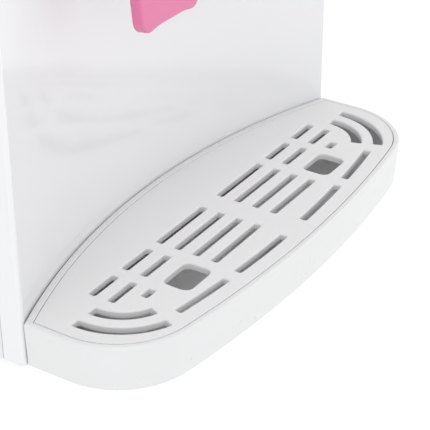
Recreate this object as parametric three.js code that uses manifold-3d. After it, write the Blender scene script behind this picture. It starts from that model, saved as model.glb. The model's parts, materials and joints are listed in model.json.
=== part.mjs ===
// Countertop water dispenser: a bowed-in front with two press taps over a slotted drip tray, a seat for
// an upturned bottle on top, and a hot tank, a cooled tank, a thermoelectric cooler and a fan inside.
// Millimetres. +Z is up, the front faces -Y, and X runs to the right as seen from the front.
// The origin is on the worktop, at the centre of the object's width and depth.
import * as THREE from 'three';
import { mergeVertices } from 'three/addons/utils/BufferGeometryUtils.js';
import Module from 'manifold-3d';

const wasm = await Module();
wasm.setup();

// ---------------------------------------------------------------- driving dimensions
const gap = 0.3;                    // clearance between pieces that touch
const width = 298;                  // across the side panels
const depth = 370;                  // tip of the tray to the face of the drain cap
const footHeight = 5;
const bodyTop = 385;                // top edge of the shells
const wall = 2.5;                   // moulded wall of the shells
const trayHeight = 26.5;
const trayReach = 81;               // from the body's front corners to the tip of the tray
const panelRadius = 405;            // plan radius of the bowed-in front
const panelSetback = 107.6;         // from the tip of the tray to the middle of the front panel
const drainCapReach = 12;           // how far the drain cap stands behind the rear panel
const cornerRadius = 2;             // vertical front corners
const rearCornerRadius = 12;
const seamSetback = 12.4;           // side seam, behind the front corners
const rearWrap = 24;                // rear panel's return along each side

const halfWidth = width / 2;
const trayTip = -depth / 2;
const rearFace = depth / 2 - drainCapReach;
const panelMiddle = trayTip + panelSetback;
const bowCentre = panelMiddle - panelRadius;
const baseLevel = footHeight;
const trayTop = baseLevel + trayHeight;
const sideSeam = trayTip + trayReach + seamSetback;
const rearSeam = rearFace - rearWrap;

// drip tray and its grille
const trayFrontRadius = 709;
const trayCornerRadius = 46.5;
const trayHalfWidth = halfWidth - 0.5;
const trayRim = 3.4;                // width of the rim around the grille
const trayWall = 3;
const trayDraft = 1.5;
const grilleThickness = 4.5;
const ledgeWidth = 3;
const slotWidth = 4.3;
const slotPitch = 11.53;
const slotRowA = trayTip + 64.6;    // front edge of the rearmost slot row
const hookX = 60;
const hookWidth = 20;

// taps
const tapX = 57;
const tapY = trayTip + 88;          // vertical axis of the spout
const tapInletZ = 222;
const leverTipZ = 162;
const leverTipY = trayTip + 50.7;   // front face of the lever at its tip
const leverThickness = 5.8;
const leverWidth = 47.4;
const leverLean = 8;                // degrees; the tip stands out furthest
const leverArch = 2;                // rise of the lever's lower edge at its middle
const pivotY = trayTip + 77;
const pivotZ = 247;

// water path
const seatY = 35;
const coldRadius = 62;
const coldBottom = 236;
const coldTop = 344;
const hotX = -45;
const hotY = 60;
const hotRadius = 42;
const hotBottom = 90;
const hotTop = 190;
const hoseRadius = 5;
const hoseBore = 3;
const nippleRadius = 4;
const nippleBore = 2.4;
const nippleLength = 10;
const coolerZ = 292;                // height of the cooler's and the fan's axis

// rear fittings
const drainX = 60;
const drainZ = 42;
const switchX = 92;
const switchZ = 330;
const inletX = -92;
const inletZ = 70;

// ---------------------------------------------------------------- materials
const finishes = {
  shell_white: { color: 0xf2f3f5, roughness: 0.22, metalness: 0 },
  panel_white: { color: 0xf0f1f2, roughness: 0.35, metalness: 0 },
  tray_white: { color: 0xf0f1f3, roughness: 0.3, metalness: 0 },
  grille_white: { color: 0xdfe1e5, roughness: 0.4, metalness: 0 },
  tap_white: { color: 0xf2f2f4, roughness: 0.25, metalness: 0 },
  lever_pink: { color: 0xee8cb4, roughness: 0.25, metalness: 0 },
  seat_white: { color: 0xeef0f2, roughness: 0.35, metalness: 0 },
  spike_blue: { color: 0x9fc4e6, roughness: 0.35, metalness: 0 },
  base_grey: { color: 0xb9bcc0, roughness: 0.6, metalness: 0 },
  foot_rubber: { color: 0x2b2c2e, roughness: 0.9, metalness: 0 },
  seal_silicone: { color: 0xe4e2dc, roughness: 0.6, metalness: 0 },
  hose_silicone: { color: 0xe8e8e2, roughness: 0.5, metalness: 0 },
  tank_steel: { color: 0xc4c7ca, roughness: 0.3, metalness: 1 },
  pin_steel: { color: 0xb8bbbf, roughness: 0.3, metalness: 1 },
  screw_steel: { color: 0xa9acb0, roughness: 0.4, metalness: 1 },
  foam_white: { color: 0xf4f4f0, roughness: 0.95, metalness: 0 },
  felt_grey: { color: 0x8f9296, roughness: 0.95, metalness: 0 },
  heater_mica: { color: 0x9a8a66, roughness: 0.7, metalness: 0 },
  sink_aluminium: { color: 0xb4b8bc, roughness: 0.45, metalness: 1 },
  module_ceramic: { color: 0xf0efe8, roughness: 0.5, metalness: 0 },
  fan_black: { color: 0x1d1e20, roughness: 0.5, metalness: 0 },
  board_green: { color: 0x2d6a45, roughness: 0.6, metalness: 0 },
  fitting_black: { color: 0x202123, roughness: 0.45, metalness: 0 },
  rocker_red: { color: 0xc23a3c, roughness: 0.35, metalness: 0 },
  rocker_green: { color: 0x3a9a58, roughness: 0.35, metalness: 0 },
  bezel_white: { color: 0xe9ebee, roughness: 0.3, metalness: 0 },
  lamp_red: { color: 0xe0504c, roughness: 0.2, metalness: 0 },
  lamp_blue: { color: 0x5a9be0, roughness: 0.2, metalness: 0 },
};

// ---------------------------------------------------------------- solids
// A closed three.js geometry becomes a solid; triangles that close up on a pole are left out.
function solid(geometry) {
  const bare = geometry.clone();
  bare.deleteAttribute('normal');
  bare.deleteAttribute('uv');
  const welded = mergeVertices(bare, 1e-4);
  const corners = welded.index.array;
  const kept = [];
  for (let i = 0; i < corners.length; i += 3) {
    const [a, b, c] = [corners[i], corners[i + 1], corners[i + 2]];
    if (a !== b && b !== c && c !== a) kept.push(a, b, c);
  }
  const vertProperties = Float32Array.from(welded.attributes.position.array);
  const made = new wasm.Manifold(
    new wasm.Mesh({ numProp: 3, vertProperties, triVerts: Uint32Array.from(kept) }),
  );
  if (made.volume() > 0) return made;
  return new wasm.Manifold(
    new wasm.Mesh({ numProp: 3, vertProperties, triVerts: Uint32Array.from(kept).reverse() }),
  );
}

function join(first, ...rest) {
  return rest.reduce((sum, piece) => sum.add(piece), first);
}

function cut(first, ...rest) {
  return rest.reduce((left, piece) => left.subtract(piece), first);
}

function box([x0, x1], [y0, y1], [z0, z1]) {
  const block = new THREE.BoxGeometry(x1 - x0, y1 - y0, z1 - z0);
  return solid(block.translate((x0 + x1) / 2, (y0 + y1) / 2, (z0 + z1) / 2));
}

// A round bar along one axis; (a, b) is its centre on the other two axes, in X, Y, Z order.
function bar(axis, [a, b], [from, to], radius, sides = 24) {
  const round = new THREE.CylinderGeometry(radius, radius, to - from, sides);
  const middle = (from + to) / 2;
  if (axis === 'x') return solid(round.rotateZ(-Math.PI / 2).translate(middle, a, b));
  if (axis === 'y') return solid(round.translate(a, middle, b));
  return solid(round.rotateX(Math.PI / 2).translate(a, b, middle));
}

// Outlines drawn in the plan, the front view (x, z) and the side view (y, z), made thick.
function thickPlan(points, [z0, z1]) {
  const slab = new THREE.ExtrudeGeometry(new THREE.Shape(points), { depth: z1 - z0, bevelEnabled: false });
  return solid(slab.translate(0, 0, z0));
}

function thickFront(points, [y0, y1]) {
  const slab = new THREE.ExtrudeGeometry(new THREE.Shape(points), { depth: y1 - y0, bevelEnabled: false });
  return solid(slab.rotateX(Math.PI / 2).translate(0, y1, 0));
}

function thickSide(points, [x0, x1]) {
  const slab = new THREE.ExtrudeGeometry(new THREE.Shape(points), { depth: x1 - x0, bevelEnabled: false });
  const turn = new THREE.Matrix4().makeBasis(
    new THREE.Vector3(0, 1, 0),
    new THREE.Vector3(0, 0, 1),
    new THREE.Vector3(1, 0, 0),
  );
  return solid(slab.applyMatrix4(turn).translate(x0, 0, 0));
}

// A turned piece about a vertical axis; the profile is [radius, height] pairs.
function turned(profile, sides = 32) {
  const points = profile.map(([r, z]) => new THREE.Vector2(r, z));
  return solid(new THREE.LatheGeometry(points, sides).rotateX(Math.PI / 2));
}

// A closed turned profile that stays off the axis.
function turnedRing(profile, sides = 32) {
  return turned([...profile, profile[0]], sides);
}

// A stack of outlines with the same number of points, each at its own height, skinned and capped.
function loft(levels) {
  const count = levels[0].points.length;
  const positions = levels.flatMap(({ points, z }) => points.flatMap((p) => [p.x, p.y, z]));
  const index = [];
  for (let level = 0; level + 1 < levels.length; level += 1) {
    for (let i = 0; i < count; i += 1) {
      const [a, b] = [level * count + i, level * count + ((i + 1) % count)];
      index.push(a, b, b + count, a, b + count, a + count);
    }
  }
  const cap = THREE.ShapeUtils.triangulateShape(levels[0].points, []);
  const top = (levels.length - 1) * count;
  for (const [a, b, c] of cap) index.push(c, b, a, a + top, b + top, c + top);
  const geometry = new THREE.BufferGeometry();
  geometry.setAttribute('position', new THREE.Float32BufferAttribute(positions, 3));
  geometry.setIndex(index);
  return solid(geometry);
}

// Points on an arc, in degrees.
function arc(x, y, radius, from, to, steps) {
  return Array.from({ length: steps + 1 }, (_, i) => {
    const angle = THREE.MathUtils.degToRad(from + ((to - from) * i) / steps);
    return new THREE.Vector2(x + radius * Math.cos(angle), y + radius * Math.sin(angle));
  });
}

// Every outline is symmetric about the YZ plane, so its left half mirrors its right half.
function mirrored(rightHalf) {
  const offAxis = rightHalf.filter((p) => p.x > 1e-6);
  const leftHalf = offAxis.map((p) => new THREE.Vector2(-p.x, p.y)).reverse();
  return [...rightHalf, ...leftHalf];
}

function rectangle([x0, x1], [y0, y1], radius = 0, steps = 2) {
  if (radius === 0) {
    return [[x0, y0], [x1, y0], [x1, y1], [x0, y1]].map(([x, y]) => new THREE.Vector2(x, y));
  }
  return [
    ...arc(x1 - radius, y0 + radius, radius, -90, 0, steps),
    ...arc(x1 - radius, y1 - radius, radius, 0, 90, steps),
    ...arc(x0 + radius, y1 - radius, radius, 90, 180, steps),
    ...arc(x0 + radius, y0 + radius, radius, 180, 270, steps),
  ];
}

const machine = new THREE.Group();

function place(name, shape, finish, parent = machine) {
  const { vertProperties, triVerts } = shape.getMesh();
  const geometry = new THREE.BufferGeometry();
  geometry.setAttribute('position', new THREE.BufferAttribute(new Float32Array(vertProperties), 3));
  geometry.setIndex(new THREE.BufferAttribute(new Uint32Array(triVerts), 1));
  geometry.computeVertexNormals();
  const mesh = new THREE.Mesh(geometry, new THREE.MeshStandardMaterial(finishes[finish]));
  mesh.name = name;
  parent.add(mesh);
  return mesh;
}

// ---------------------------------------------------------------- plan outlines
// Angle, from +Y, at which an arc about the bow's centre reaches a given half width.
function bowAngle(x, radius) {
  return THREE.MathUtils.radToDeg(Math.asin(x / radius));
}

// The front face at an inset into the body, from the middle to the right corner's rounding.
function bowedFront(inset, steps = 10) {
  const radius = panelRadius + inset;
  const rounding = Math.max(cornerRadius - inset, 1);
  const centreX = halfWidth - inset - rounding;
  const turn = bowAngle(centreX, radius + rounding);
  const centreY = bowCentre + (radius + rounding) * Math.cos(THREE.MathUtils.degToRad(turn));
  return [
    ...arc(0, bowCentre, radius, 90, 90 - turn, steps),
    ...arc(centreX, centreY, rounding, -90 - turn, 0, 4).slice(1),
  ];
}

// The whole body seen from above.
function bodyOutline(inset) {
  const rounding = rearCornerRadius - inset;
  const corner = arc(halfWidth - rearCornerRadius, rearFace - rearCornerRadius, rounding, 0, 90, 5);
  return mirrored([...bowedFront(inset), ...corner]);
}

// The drip tray seen from above: bowed front, round ends, and a back that follows the front panel.
function trayOutline(inset, backInset = inset) {
  const radius = trayCornerRadius - inset;
  const frontCentre = trayTip + trayFrontRadius;
  const cornerX = trayHalfWidth - trayCornerRadius;
  const reach = trayFrontRadius - trayCornerRadius;
  const cornerY = frontCentre - Math.sqrt(reach ** 2 - cornerX ** 2);
  const turn = THREE.MathUtils.radToDeg(Math.asin(cornerX / reach));
  const backRadius = panelRadius - gap - backInset;
  const backTurn = bowAngle(trayHalfWidth - inset, backRadius);
  return mirrored([
    ...arc(0, frontCentre, trayFrontRadius - inset, -90, -90 + turn, 4),
    ...arc(cornerX, cornerY, radius, -90 + turn, 0, 9).slice(1),
    ...arc(0, bowCentre, backRadius, 90 - backTurn, 90, 10),
  ]);
}

// ---------------------------------------------------------------- casing
function hookSlots() {
  const half = hookWidth / 2 + 1;
  return [-hookX, hookX].map((x) => box([x - half, x + half], [-95, -60], [10, 20]));
}

function frontShell() {
  const outer = bowedFront(0);
  const inner = bowedFront(wall);
  const rightEnd = [
    new THREE.Vector2(halfWidth, sideSeam),
    new THREE.Vector2(halfWidth - wall, sideSeam),
  ];
  const rightHalf = [...outer.slice(1), ...rightEnd];
  const mirror = (points) => points.map((p) => new THREE.Vector2(-p.x, p.y)).reverse();
  const outline = [
    ...rightHalf,
    ...inner.slice(1).reverse(),
    ...mirror(inner.slice(1).reverse()),
    ...mirror(rightHalf),
  ];
  const tapHoles = [-tapX, tapX].map((x) => bar('y', [x, tapInletZ], [-110, -60], 9.6));
  const window = box([-32.5, 32.5], [-100, -60], [311.5, 328.5]);
  place(
    'front_shell',
    cut(thickPlan(outline, [baseLevel, bodyTop]), ...tapHoles, window, ...hookSlots()),
    'shell_white',
  );
}

function sidePanels() {
  const slots = Array.from({ length: 7 }, (_, i) => 250 + i * 10);
  for (const [name, side] of [['left_side_panel', -1], ['right_side_panel', 1]]) {
    const across = [side * halfWidth, side * (halfWidth - wall)].sort((a, b) => a - b);
    const panel = box(across, [sideSeam + gap, rearSeam - gap], [baseLevel, bodyTop]);
    const vents = slots.map((z) => box([across[0] - 1, across[1] + 1], [92, 132], [z, z + 3.6]));
    place(name, cut(panel, ...vents), 'panel_white');
  }
}

function rearPanel() {
  const corner = (inset) =>
    arc(halfWidth - rearCornerRadius, rearFace - rearCornerRadius, rearCornerRadius - inset, 0, 90, 5);
  const right = [
    new THREE.Vector2(halfWidth - wall, rearSeam),
    new THREE.Vector2(halfWidth, rearSeam),
    ...corner(0),
  ];
  const mirror = (points) => points.map((p) => new THREE.Vector2(-p.x, p.y)).reverse();
  const innerRight = corner(wall).reverse();
  const outline = [...right, ...mirror(right), ...mirror(innerRight), ...innerRight];
  const through = [rearFace - wall - 2, rearFace + 1];
  const vents = Array.from({ length: 10 }, (_, i) => 256 + i * 8).map((z) =>
    box([-36, 36], through, [z, z + 3.6]));
  const lowVents = Array.from({ length: 5 }, (_, i) => 95 + i * 8).map((z) =>
    box([-40, 20], through, [z, z + 3.6]));
  const screwHoles = [-120, 120].map((x) => bar('y', [x, 375], through, 2.1, 12));
  place(
    'rear_panel',
    cut(
      thickPlan(outline, [baseLevel, bodyTop]),
      ...vents,
      ...lowVents,
      ...screwHoles,
      bar('y', [drainX, drainZ], through, 7, 20),
      box([switchX - 22, switchX + 22], through, [switchZ - 13.5, switchZ + 13.5]),
      box([inletX - 14.5, inletX + 14.5], through, [inletZ - 11, inletZ + 11]),
    ),
    'panel_white',
  );
}

// The cold tank hangs by four lugs from posts under the top cover.
const tankPosts = [45, 135, 225, 315].map((angle) => {
  const [post] = arc(0, seatY, 96, angle, angle, 1);
  return [post.x, post.y];
});

function topCover() {
  const dome = loft([
    { points: bodyOutline(0), z: bodyTop + gap },
    { points: bodyOutline(0), z: bodyTop + 9 },
    { points: bodyOutline(1.2), z: bodyTop + 12.6 },
    { points: bodyOutline(4), z: bodyTop + 15 },
  ]);
  const hollow = thickPlan(bodyOutline(wall + 3), [bodyTop - 1, bodyTop + 11.5]);
  const skirtTop = bodyTop + 5;
  const skirt = cut(
    thickPlan(bodyOutline(wall + gap), [bodyTop - 22, skirtTop]),
    thickPlan(bodyOutline(wall + 3), [bodyTop - 23, skirtTop + 1]),
  );
  const mouth = bar('z', [0, seatY], [bodyTop - 30, bodyTop + 30], 91, 32);
  const posts = tankPosts.map((at) => bar('z', at, [coldTop + 1.9, bodyTop + 12], 4, 10));
  const screwHoles = [-120, 120].map((x) => bar('y', [x, 375], [150, 190], 1.9, 12));
  place('top_cover', cut(join(cut(dome, hollow), skirt, ...posts), mouth, ...screwHoles), 'shell_white');
}

function basePan() {
  const floorTop = baseLevel + wall;
  const floor = thickPlan(bodyOutline(wall + gap), [baseLevel, floorTop]);
  const upstand = cut(
    thickPlan(bodyOutline(wall + gap), [floorTop - 1, baseLevel + 20]),
    thickPlan(bodyOutline(wall + 3), [floorTop - 2, baseLevel + 21]),
  );
  const posts = [[60, 5], [130, 5], [60, 65], [130, 65]].map(([x, y]) =>
    bar('z', [x, y], [floorTop - 1, 13.7], 3, 8));
  const pillars = arc(hotX, hotY, 51, 30, 390 - 120, 2).map(({ x, y }) =>
    bar('z', [x, y], [floorTop - 1, hotBottom - 2 - gap], 4, 10));
  place('base_pan', cut(join(floor, upstand, ...posts, ...pillars), ...hookSlots()), 'base_grey');
}

function feet() {
  const profile = [[0, 0], [9, 0], [10, 1], [10.6, footHeight - gap], [0, footHeight - gap]];
  for (const [end, y] of [['front', -78], ['rear', 150]]) {
    for (const [side, x] of [['left', -125], ['right', 125]]) {
      place(`${end}_${side}_foot`, turned(profile, 20), 'foot_rubber').position.set(x, y, 0);
    }
  }
}

// ---------------------------------------------------------------- drip tray
function dripTray() {
  const outer = loft([
    { points: trayOutline(trayDraft + 1.2, 0), z: baseLevel },
    { points: trayOutline(trayDraft, 0), z: baseLevel + 1.5 },
    { points: trayOutline(0, 0), z: trayTop - 2 },
    { points: trayOutline(0.5, 0), z: trayTop - 0.8 },
    { points: trayOutline(1.4, 0.4), z: trayTop },
  ]);
  const grilleSeat = trayTop - grilleThickness - gap;
  const recess = thickPlan(trayOutline(trayRim, trayRim + 0.6), [grilleSeat, trayTop + 1]);
  const basin = thickPlan(
    trayOutline(trayRim + ledgeWidth, trayRim + ledgeWidth + 0.6),
    [baseLevel + trayWall, trayTop],
  );
  const hooks = [-hookX, hookX].map((x) =>
    box([x - hookWidth / 2, x + hookWidth / 2], [-84.5, -71.5], [12, 18]));
  place('drip_tray', join(cut(outer, recess, basin), ...hooks), 'tray_white');
}

// A slot drawn along an arc about (x, y).
function curvedSlot(x, y, inner, outer, from, to, steps) {
  return [...arc(x, y, outer, from, to, steps), ...arc(x, y, inner, to, from, steps)];
}

function grilleHoles() {
  const across = (from, to, front, back = front + slotWidth) => rectangle([from, to], [front, back], 1, 1);
  const row = (n) => slotRowA - n * slotPitch;
  const holes = [];
  for (const n of [0, 1, 2, 3]) holes.push(across(7.5, 51.6, row(n)));
  for (const n of [0, 1]) holes.push(across(59.4, 82.3, row(n)), across(89.8, 110.3, row(n)));
  holes.push(across(90.1, 97.9, row(2)));
  holes.push(rectangle([59.5, 82.2], [slotRowA - 37.2, slotRowA - 20.6], 4, 3));
  // the front row bends with the tray's front edge
  const bendRadius = 660;
  const bendCentre = slotRowA - 52.2 + bendRadius;
  for (const [from, to] of [[9.9, 53.5], [62.5, 99.8]]) {
    const start = -90 + bowAngle(from, bendRadius);
    const end = -90 + bowAngle(to, bendRadius);
    holes.push(curvedSlot(0, bendCentre, bendRadius - slotWidth, bendRadius, start, end, 4));
  }
  // two arcs at each end
  for (const [inner, outer] of [[23.4, 29.6], [36.4, 42.1]]) {
    holes.push(curvedSlot(94.8, slotRowA - 7.7, inner, outer, -68, 3, 8));
  }
  return holes;
}

function dripGrille() {
  const clearance = trayRim + 0.35;
  const outline = trayOutline(clearance, clearance + 0.6);
  const plate = thickPlan(outline, [trayTop - grilleThickness, trayTop]);
  const through = [trayTop - grilleThickness - 1, trayTop + 1];
  const right = grilleHoles().map((hole) => thickPlan(hole, through));
  const left = right.map((hole) => hole.mirror([1, 0, 0]));
  place('drip_grille', cut(plate, ...right, ...left), 'grille_white');
}

// ---------------------------------------------------------------- taps
const spoutEnd = 172;
const headBase = 202;
const headTop = 238;
const headRadius = 12;
const chamberRadius = 9;
const valveSeat = 208;

function tapBody() {
  const head = turnedRing([
    [4.5, spoutEnd], [8.5, spoutEnd], [8.5, 196], [headRadius, headBase], [headRadius, headTop],
    [chamberRadius, headTop], [chamberRadius, valveSeat], [4.5, valveSeat - 3],
  ], 18).translate([0, tapY, 0]);
  const chamber = bar('z', [0, tapY], [valveSeat, headTop + 1], chamberRadius, 18);
  const stub = bar('y', [0, tapInletZ], [tapY + 6, -56], 9.2, 18);
  const flange = bar('y', [0, tapInletZ], [-89, -85], 17, 24);
  const bore = bar('y', [0, tapInletZ], [tapY, -55], 4.5, 10);
  const lug = thickSide(
    [
      new THREE.Vector2(pivotY + 3.5, 228),
      ...arc(pivotY, pivotZ, 3.6, 0, 180, 6),
      new THREE.Vector2(pivotY - 3.6, 236),
    ],
    [-4.6, 4.6],
  );
  const pinHole = bar('x', [pivotY, pivotZ], [-6, 6], 2.3, 12);
  return cut(join(head, stub, flange, lug), chamber, bore, pinHole);
}

// The lever: a broad leaning plate in front of the spout, a hood over the head, two cheeks on the pin
// and a fork that lifts the stem.
function tapLever() {
  const lean = Math.tan(THREE.MathUtils.degToRad(leverLean));
  const frontTop = leverTipY + (240 - leverTipZ) * lean;
  const point = (y, z) => new THREE.Vector2(y, z);
  const side = thickSide([
    point(leverTipY + leverThickness, leverTipZ + 1.1),
    point(frontTop + leverThickness, 240),
    point(pivotY - 5.4, 252),
    point(pivotY - 2, 255.4),
    point(pivotY + 16, 257.4),
    point(pivotY + 16.6, 259.6),
    point(pivotY, 260.4),
    point(pivotY - 7, 257.5),
    point(frontTop + 2.4, 250),
    point(frontTop, 240),
    point(leverTipY, leverTipZ + 1.2),
    point(leverTipY + 1.2, leverTipZ),
    point(leverTipY + leverThickness - 1.2, leverTipZ),
  ], [-leverWidth / 2, leverWidth / 2]);
  const half = leverWidth / 2;
  const topHalf = half - 5;
  const front = thickFront(
    mirrored([
      new THREE.Vector2(8, leverTipZ + leverArch),
      ...arc(half - 9, leverTipZ + 9, 9, -90, 0, 5),
      ...arc(topHalf - 6, 255, 6, 10, 90, 3),
    ]),
    [leverTipY - 5, pivotY + 30],
  );
  const cheeks = [-11, 5.2].map((x) =>
    thickSide(
      [
        point(pivotY - 8, 242),
        point(pivotY + 5, 242),
        point(pivotY + 8, 246),
        point(pivotY + 8, 258.6),
        point(pivotY - 8, 258.6),
      ],
      [x, x + 5.8],
    ));
  const fork = cut(
    box([-11, 11], [pivotY + 4.4, pivotY + 15.4], [pivotZ - 0.6, pivotZ + 2.6]),
    box([-2.7, 2.7], [pivotY + 7.8, pivotY + 17], [pivotZ - 2, pivotZ + 4]),
  );
  const hood = side.intersect(front);
  const pinHole = bar('x', [pivotY, pivotZ], [-12, 12], 2.3, 12);
  return cut(join(hood, ...cheeks, fork), pinHole);
}

function tapStem() {
  const headFrom = pivotZ + 2.9;
  return turned([
    [0, 212.6], [5.2, 212.6], [5.2, 215], [2.2, 215], [2.2, headFrom], [3.8, headFrom],
    [3.8, headFrom + 2], [2.6, headFrom + 3], [0, headFrom + 3],
  ], 12).translate([0, tapY, 0]);
}

function tapSeal() {
  return turned([
    [0, valveSeat - 1.5], [3.2, valveSeat - 1.5], [4.1, valveSeat + gap], [7.4, valveSeat + gap],
    [7.4, 212.3], [0, 212.3],
  ], 12).translate([0, tapY, 0]);
}

class Helix extends THREE.Curve {
  constructor(radius, from, to, turns) {
    super();
    Object.assign(this, { radius, from, to, turns });
  }

  getPoint(t, target = new THREE.Vector3()) {
    const angle = t * this.turns * 2 * Math.PI;
    const height = this.from + (this.to - this.from) * t;
    return target.set(this.radius * Math.cos(angle), this.radius * Math.sin(angle), height);
  }
}

function tapSpring() {
  const wire = new THREE.Shape(arc(0, 0, 0.5, 0, 270, 3));
  const path = new Helix(4.2, 216, 229.2, 5);
  const coil = new THREE.ExtrudeGeometry(wire, { steps: 40, bevelEnabled: false, extrudePath: path });
  return solid(coil).translate([0, tapY, 0]);
}

function tapBonnet() {
  return turnedRing([
    [2.6, 230], [chamberRadius - gap, 230], [chamberRadius - gap, headTop + 0.6], [2.6, headTop + 0.6],
  ], 18).translate([0, tapY, 0]);
}

// The gasket fills the wedge between the tap's flat flange and the bowed panel.
function tapGasket(side) {
  const ring = cut(
    bar('y', [0, tapInletZ], [-84.7, -70], 16, 24),
    bar('y', [0, tapInletZ], [-90, -60], 9.6, 16),
  );
  const panel = cut(
    box([-40, 40], [-100, -50], [200, 245]),
    bar('z', [-side * tapX, bowCentre], [190, 250], panelRadius - gap, 360),
  );
  return cut(ring, panel);
}

function tapNut() {
  return cut(
    bar('y', [0, tapInletZ], [-76.4, -69], 15, 6),
    bar('y', [0, tapInletZ], [-80, -60], 9.5, 16),
  );
}

function taps() {
  for (const [name, side] of [['hot_tap', -1], ['cold_tap', 1]]) {
    const tap = new THREE.Group();
    tap.position.x = side * tapX;
    machine.add(tap);
    place(`${name}_body`, tapBody(), 'tap_white', tap);
    place(`${name}_lever`, tapLever(), 'lever_pink', tap);
    place(`${name}_pin`, bar('x', [pivotY, pivotZ], [-10.8, 10.8], 2, 12), 'pin_steel', tap);
    place(`${name}_stem`, tapStem(), 'tap_white', tap);
    place(`${name}_seal`, tapSeal(), 'seal_silicone', tap);
    place(`${name}_spring`, tapSpring(), 'pin_steel', tap);
    place(`${name}_bonnet`, tapBonnet(), 'tap_white', tap);
    place(`${name}_gasket`, tapGasket(side), 'seal_silicone', tap);
    place(`${name}_nut`, tapNut(), 'base_grey', tap);
  }
}

// ---------------------------------------------------------------- bottle seat
function bottleSeat() {
  const rest = bodyTop + 15 + gap;
  const bowl = turnedRing([
    [12.4, 352], [32, 352], [84, rest - 8], [90, rest - 2], [90, rest], [101, rest], [101, rest + 2],
    [93, rest + 4.5], [92, 410], [88, 410], [87, rest + 2], [81, rest - 5], [31, 354.6], [12.4, 354.6],
  ], 32);
  place('bottle_seat', bowl, 'seat_white').position.set(0, seatY, 0);
}

function feedSpike() {
  const tube = turnedRing([
    [8, 346], [12, 346], [12, 355], [18, 355], [18, 358], [12, 358.6], [11, 386], [8.6, 391], [7.4, 391],
  ], 18);
  const ports = ['x', 'y'].map((axis) => bar(axis, [0, 380], [-14, 14], 3.2, 8));
  place('feed_spike', cut(tube, ...ports), 'spike_blue').position.set(0, seatY, 0);
}

// ---------------------------------------------------------------- tanks
// A short pipe out of a tank: one piece to join on, and one to bore.
function nipple([x, y], [z0, z1]) {
  return {
    pipe: bar('z', [x, y], [z0, z1], nippleRadius, 12),
    bore: bar('z', [x, y], [z0 - 1, z1 + 2], nippleBore, 8),
  };
}

function coldTank() {
  const can = turned([
    [0, coldBottom], [coldRadius, coldBottom], [coldRadius, coldTop], [coldRadius - 1.2, coldTop],
    [coldRadius - 1.2, coldBottom + 1.2], [0, coldBottom + 1.2],
  ], 32).translate([0, seatY, 0]);
  const lugs = [45, 135, 225, 315].map((angle) =>
    box([coldRadius - 0.8, 101], [-7, 7], [coldTop, coldTop + 1.6])
      .rotate([0, 0, angle])
      .translate([0, seatY, 0]));
  const lip = turnedRing([
    [coldRadius - 1.2, coldTop - 0.5], [coldRadius, coldTop - 0.5], [coldRadius + 2, coldTop + 0.3],
    [coldRadius + 2, coldTop + 1.6], [coldRadius - 1.2, coldTop + 1.6],
  ], 32).translate([0, seatY, 0]);
  const outlets = [[35, 0], [20, 70]].map((at) =>
    nipple(at, [coldBottom - nippleLength, coldBottom + 0.6]));
  const joined = join(can, lip, ...lugs, ...outlets.map(({ pipe }) => pipe));
  place('cold_tank', cut(joined, ...outlets.map(({ bore }) => bore)), 'tank_steel');
}

function coldInsulation() {
  const sleeve = turnedRing([
    [coldRadius + gap, 232], [74, 232], [74, coldTop - 1.5], [coldRadius + gap, coldTop - 1.5],
  ], 32).translate([0, seatY, 0]);
  const opening = box([-20.4, 20.4], [seatY + 40, seatY + 90], [coolerZ - 20.4, coolerZ + 20.4]);
  place('cold_insulation', cut(sleeve, opening), 'foam_white');
}

function hotTank() {
  const shell = turned([
    [0, hotBottom], [hotRadius - 3, hotBottom], [hotRadius, hotBottom + 3], [hotRadius, hotTop - 3],
    [hotRadius - 3, hotTop], [0, hotTop],
  ], 24).translate([hotX, hotY, 0]);
  const inside = turned([
    [0, hotBottom + 1.2], [hotRadius - 4, hotBottom + 1.2], [hotRadius - 1.2, hotBottom + 4],
    [hotRadius - 1.2, hotTop - 4], [hotRadius - 4, hotTop - 1.2], [0, hotTop - 1.2],
  ], 24).translate([hotX, hotY, 0]);
  const feedEnd = hotX + hotRadius + 19;
  const feed = bar('x', [hotY, 100], [hotX + hotRadius - 2, feedEnd], nippleRadius, 12);
  const feedBore = bar('x', [hotY, 100], [hotX + 20, feedEnd + 1], nippleBore, 8);
  const upright = bar('z', [hotX, hotY], [hotBottom - 12, hotTop + 12], nippleRadius, 12);
  const uprightBore = bar('z', [hotX, hotY], [hotBottom - 13, hotTop + 13], nippleBore, 8);
  place('hot_tank', cut(join(shell, upright, feed), inside, uprightBore, feedBore), 'tank_steel');
}

function hotFittings() {
  const band = cut(
    turnedRing([
      [hotRadius + gap, 112], [hotRadius + 3.2, 112], [hotRadius + 3.2, 152], [hotRadius + gap, 152],
    ], 24),
    box([-4, 4], [-60, -20], [100, 160]),
  );
  place('heater_band', band, 'heater_mica').position.set(hotX, hotY, 0);
  const jacket = turnedRing([[hotRadius + 3.5, 88], [56, 88], [56, 192], [hotRadius + 3.5, 192]], 24);
  const feedHole = bar('x', [0, 100], [30, 70], nippleRadius + 1, 10);
  place('hot_jacket', cut(jacket, feedHole), 'felt_grey').position.set(hotX, hotY, 0);
  const disc = turned([[0, 0], [9, 0], [9, 4], [6, 4], [6, 9], [0, 9]], 14);
  place('hot_thermostat', disc, 'fitting_black').position.set(hotX + 22, hotY, hotTop + gap);
}

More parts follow.
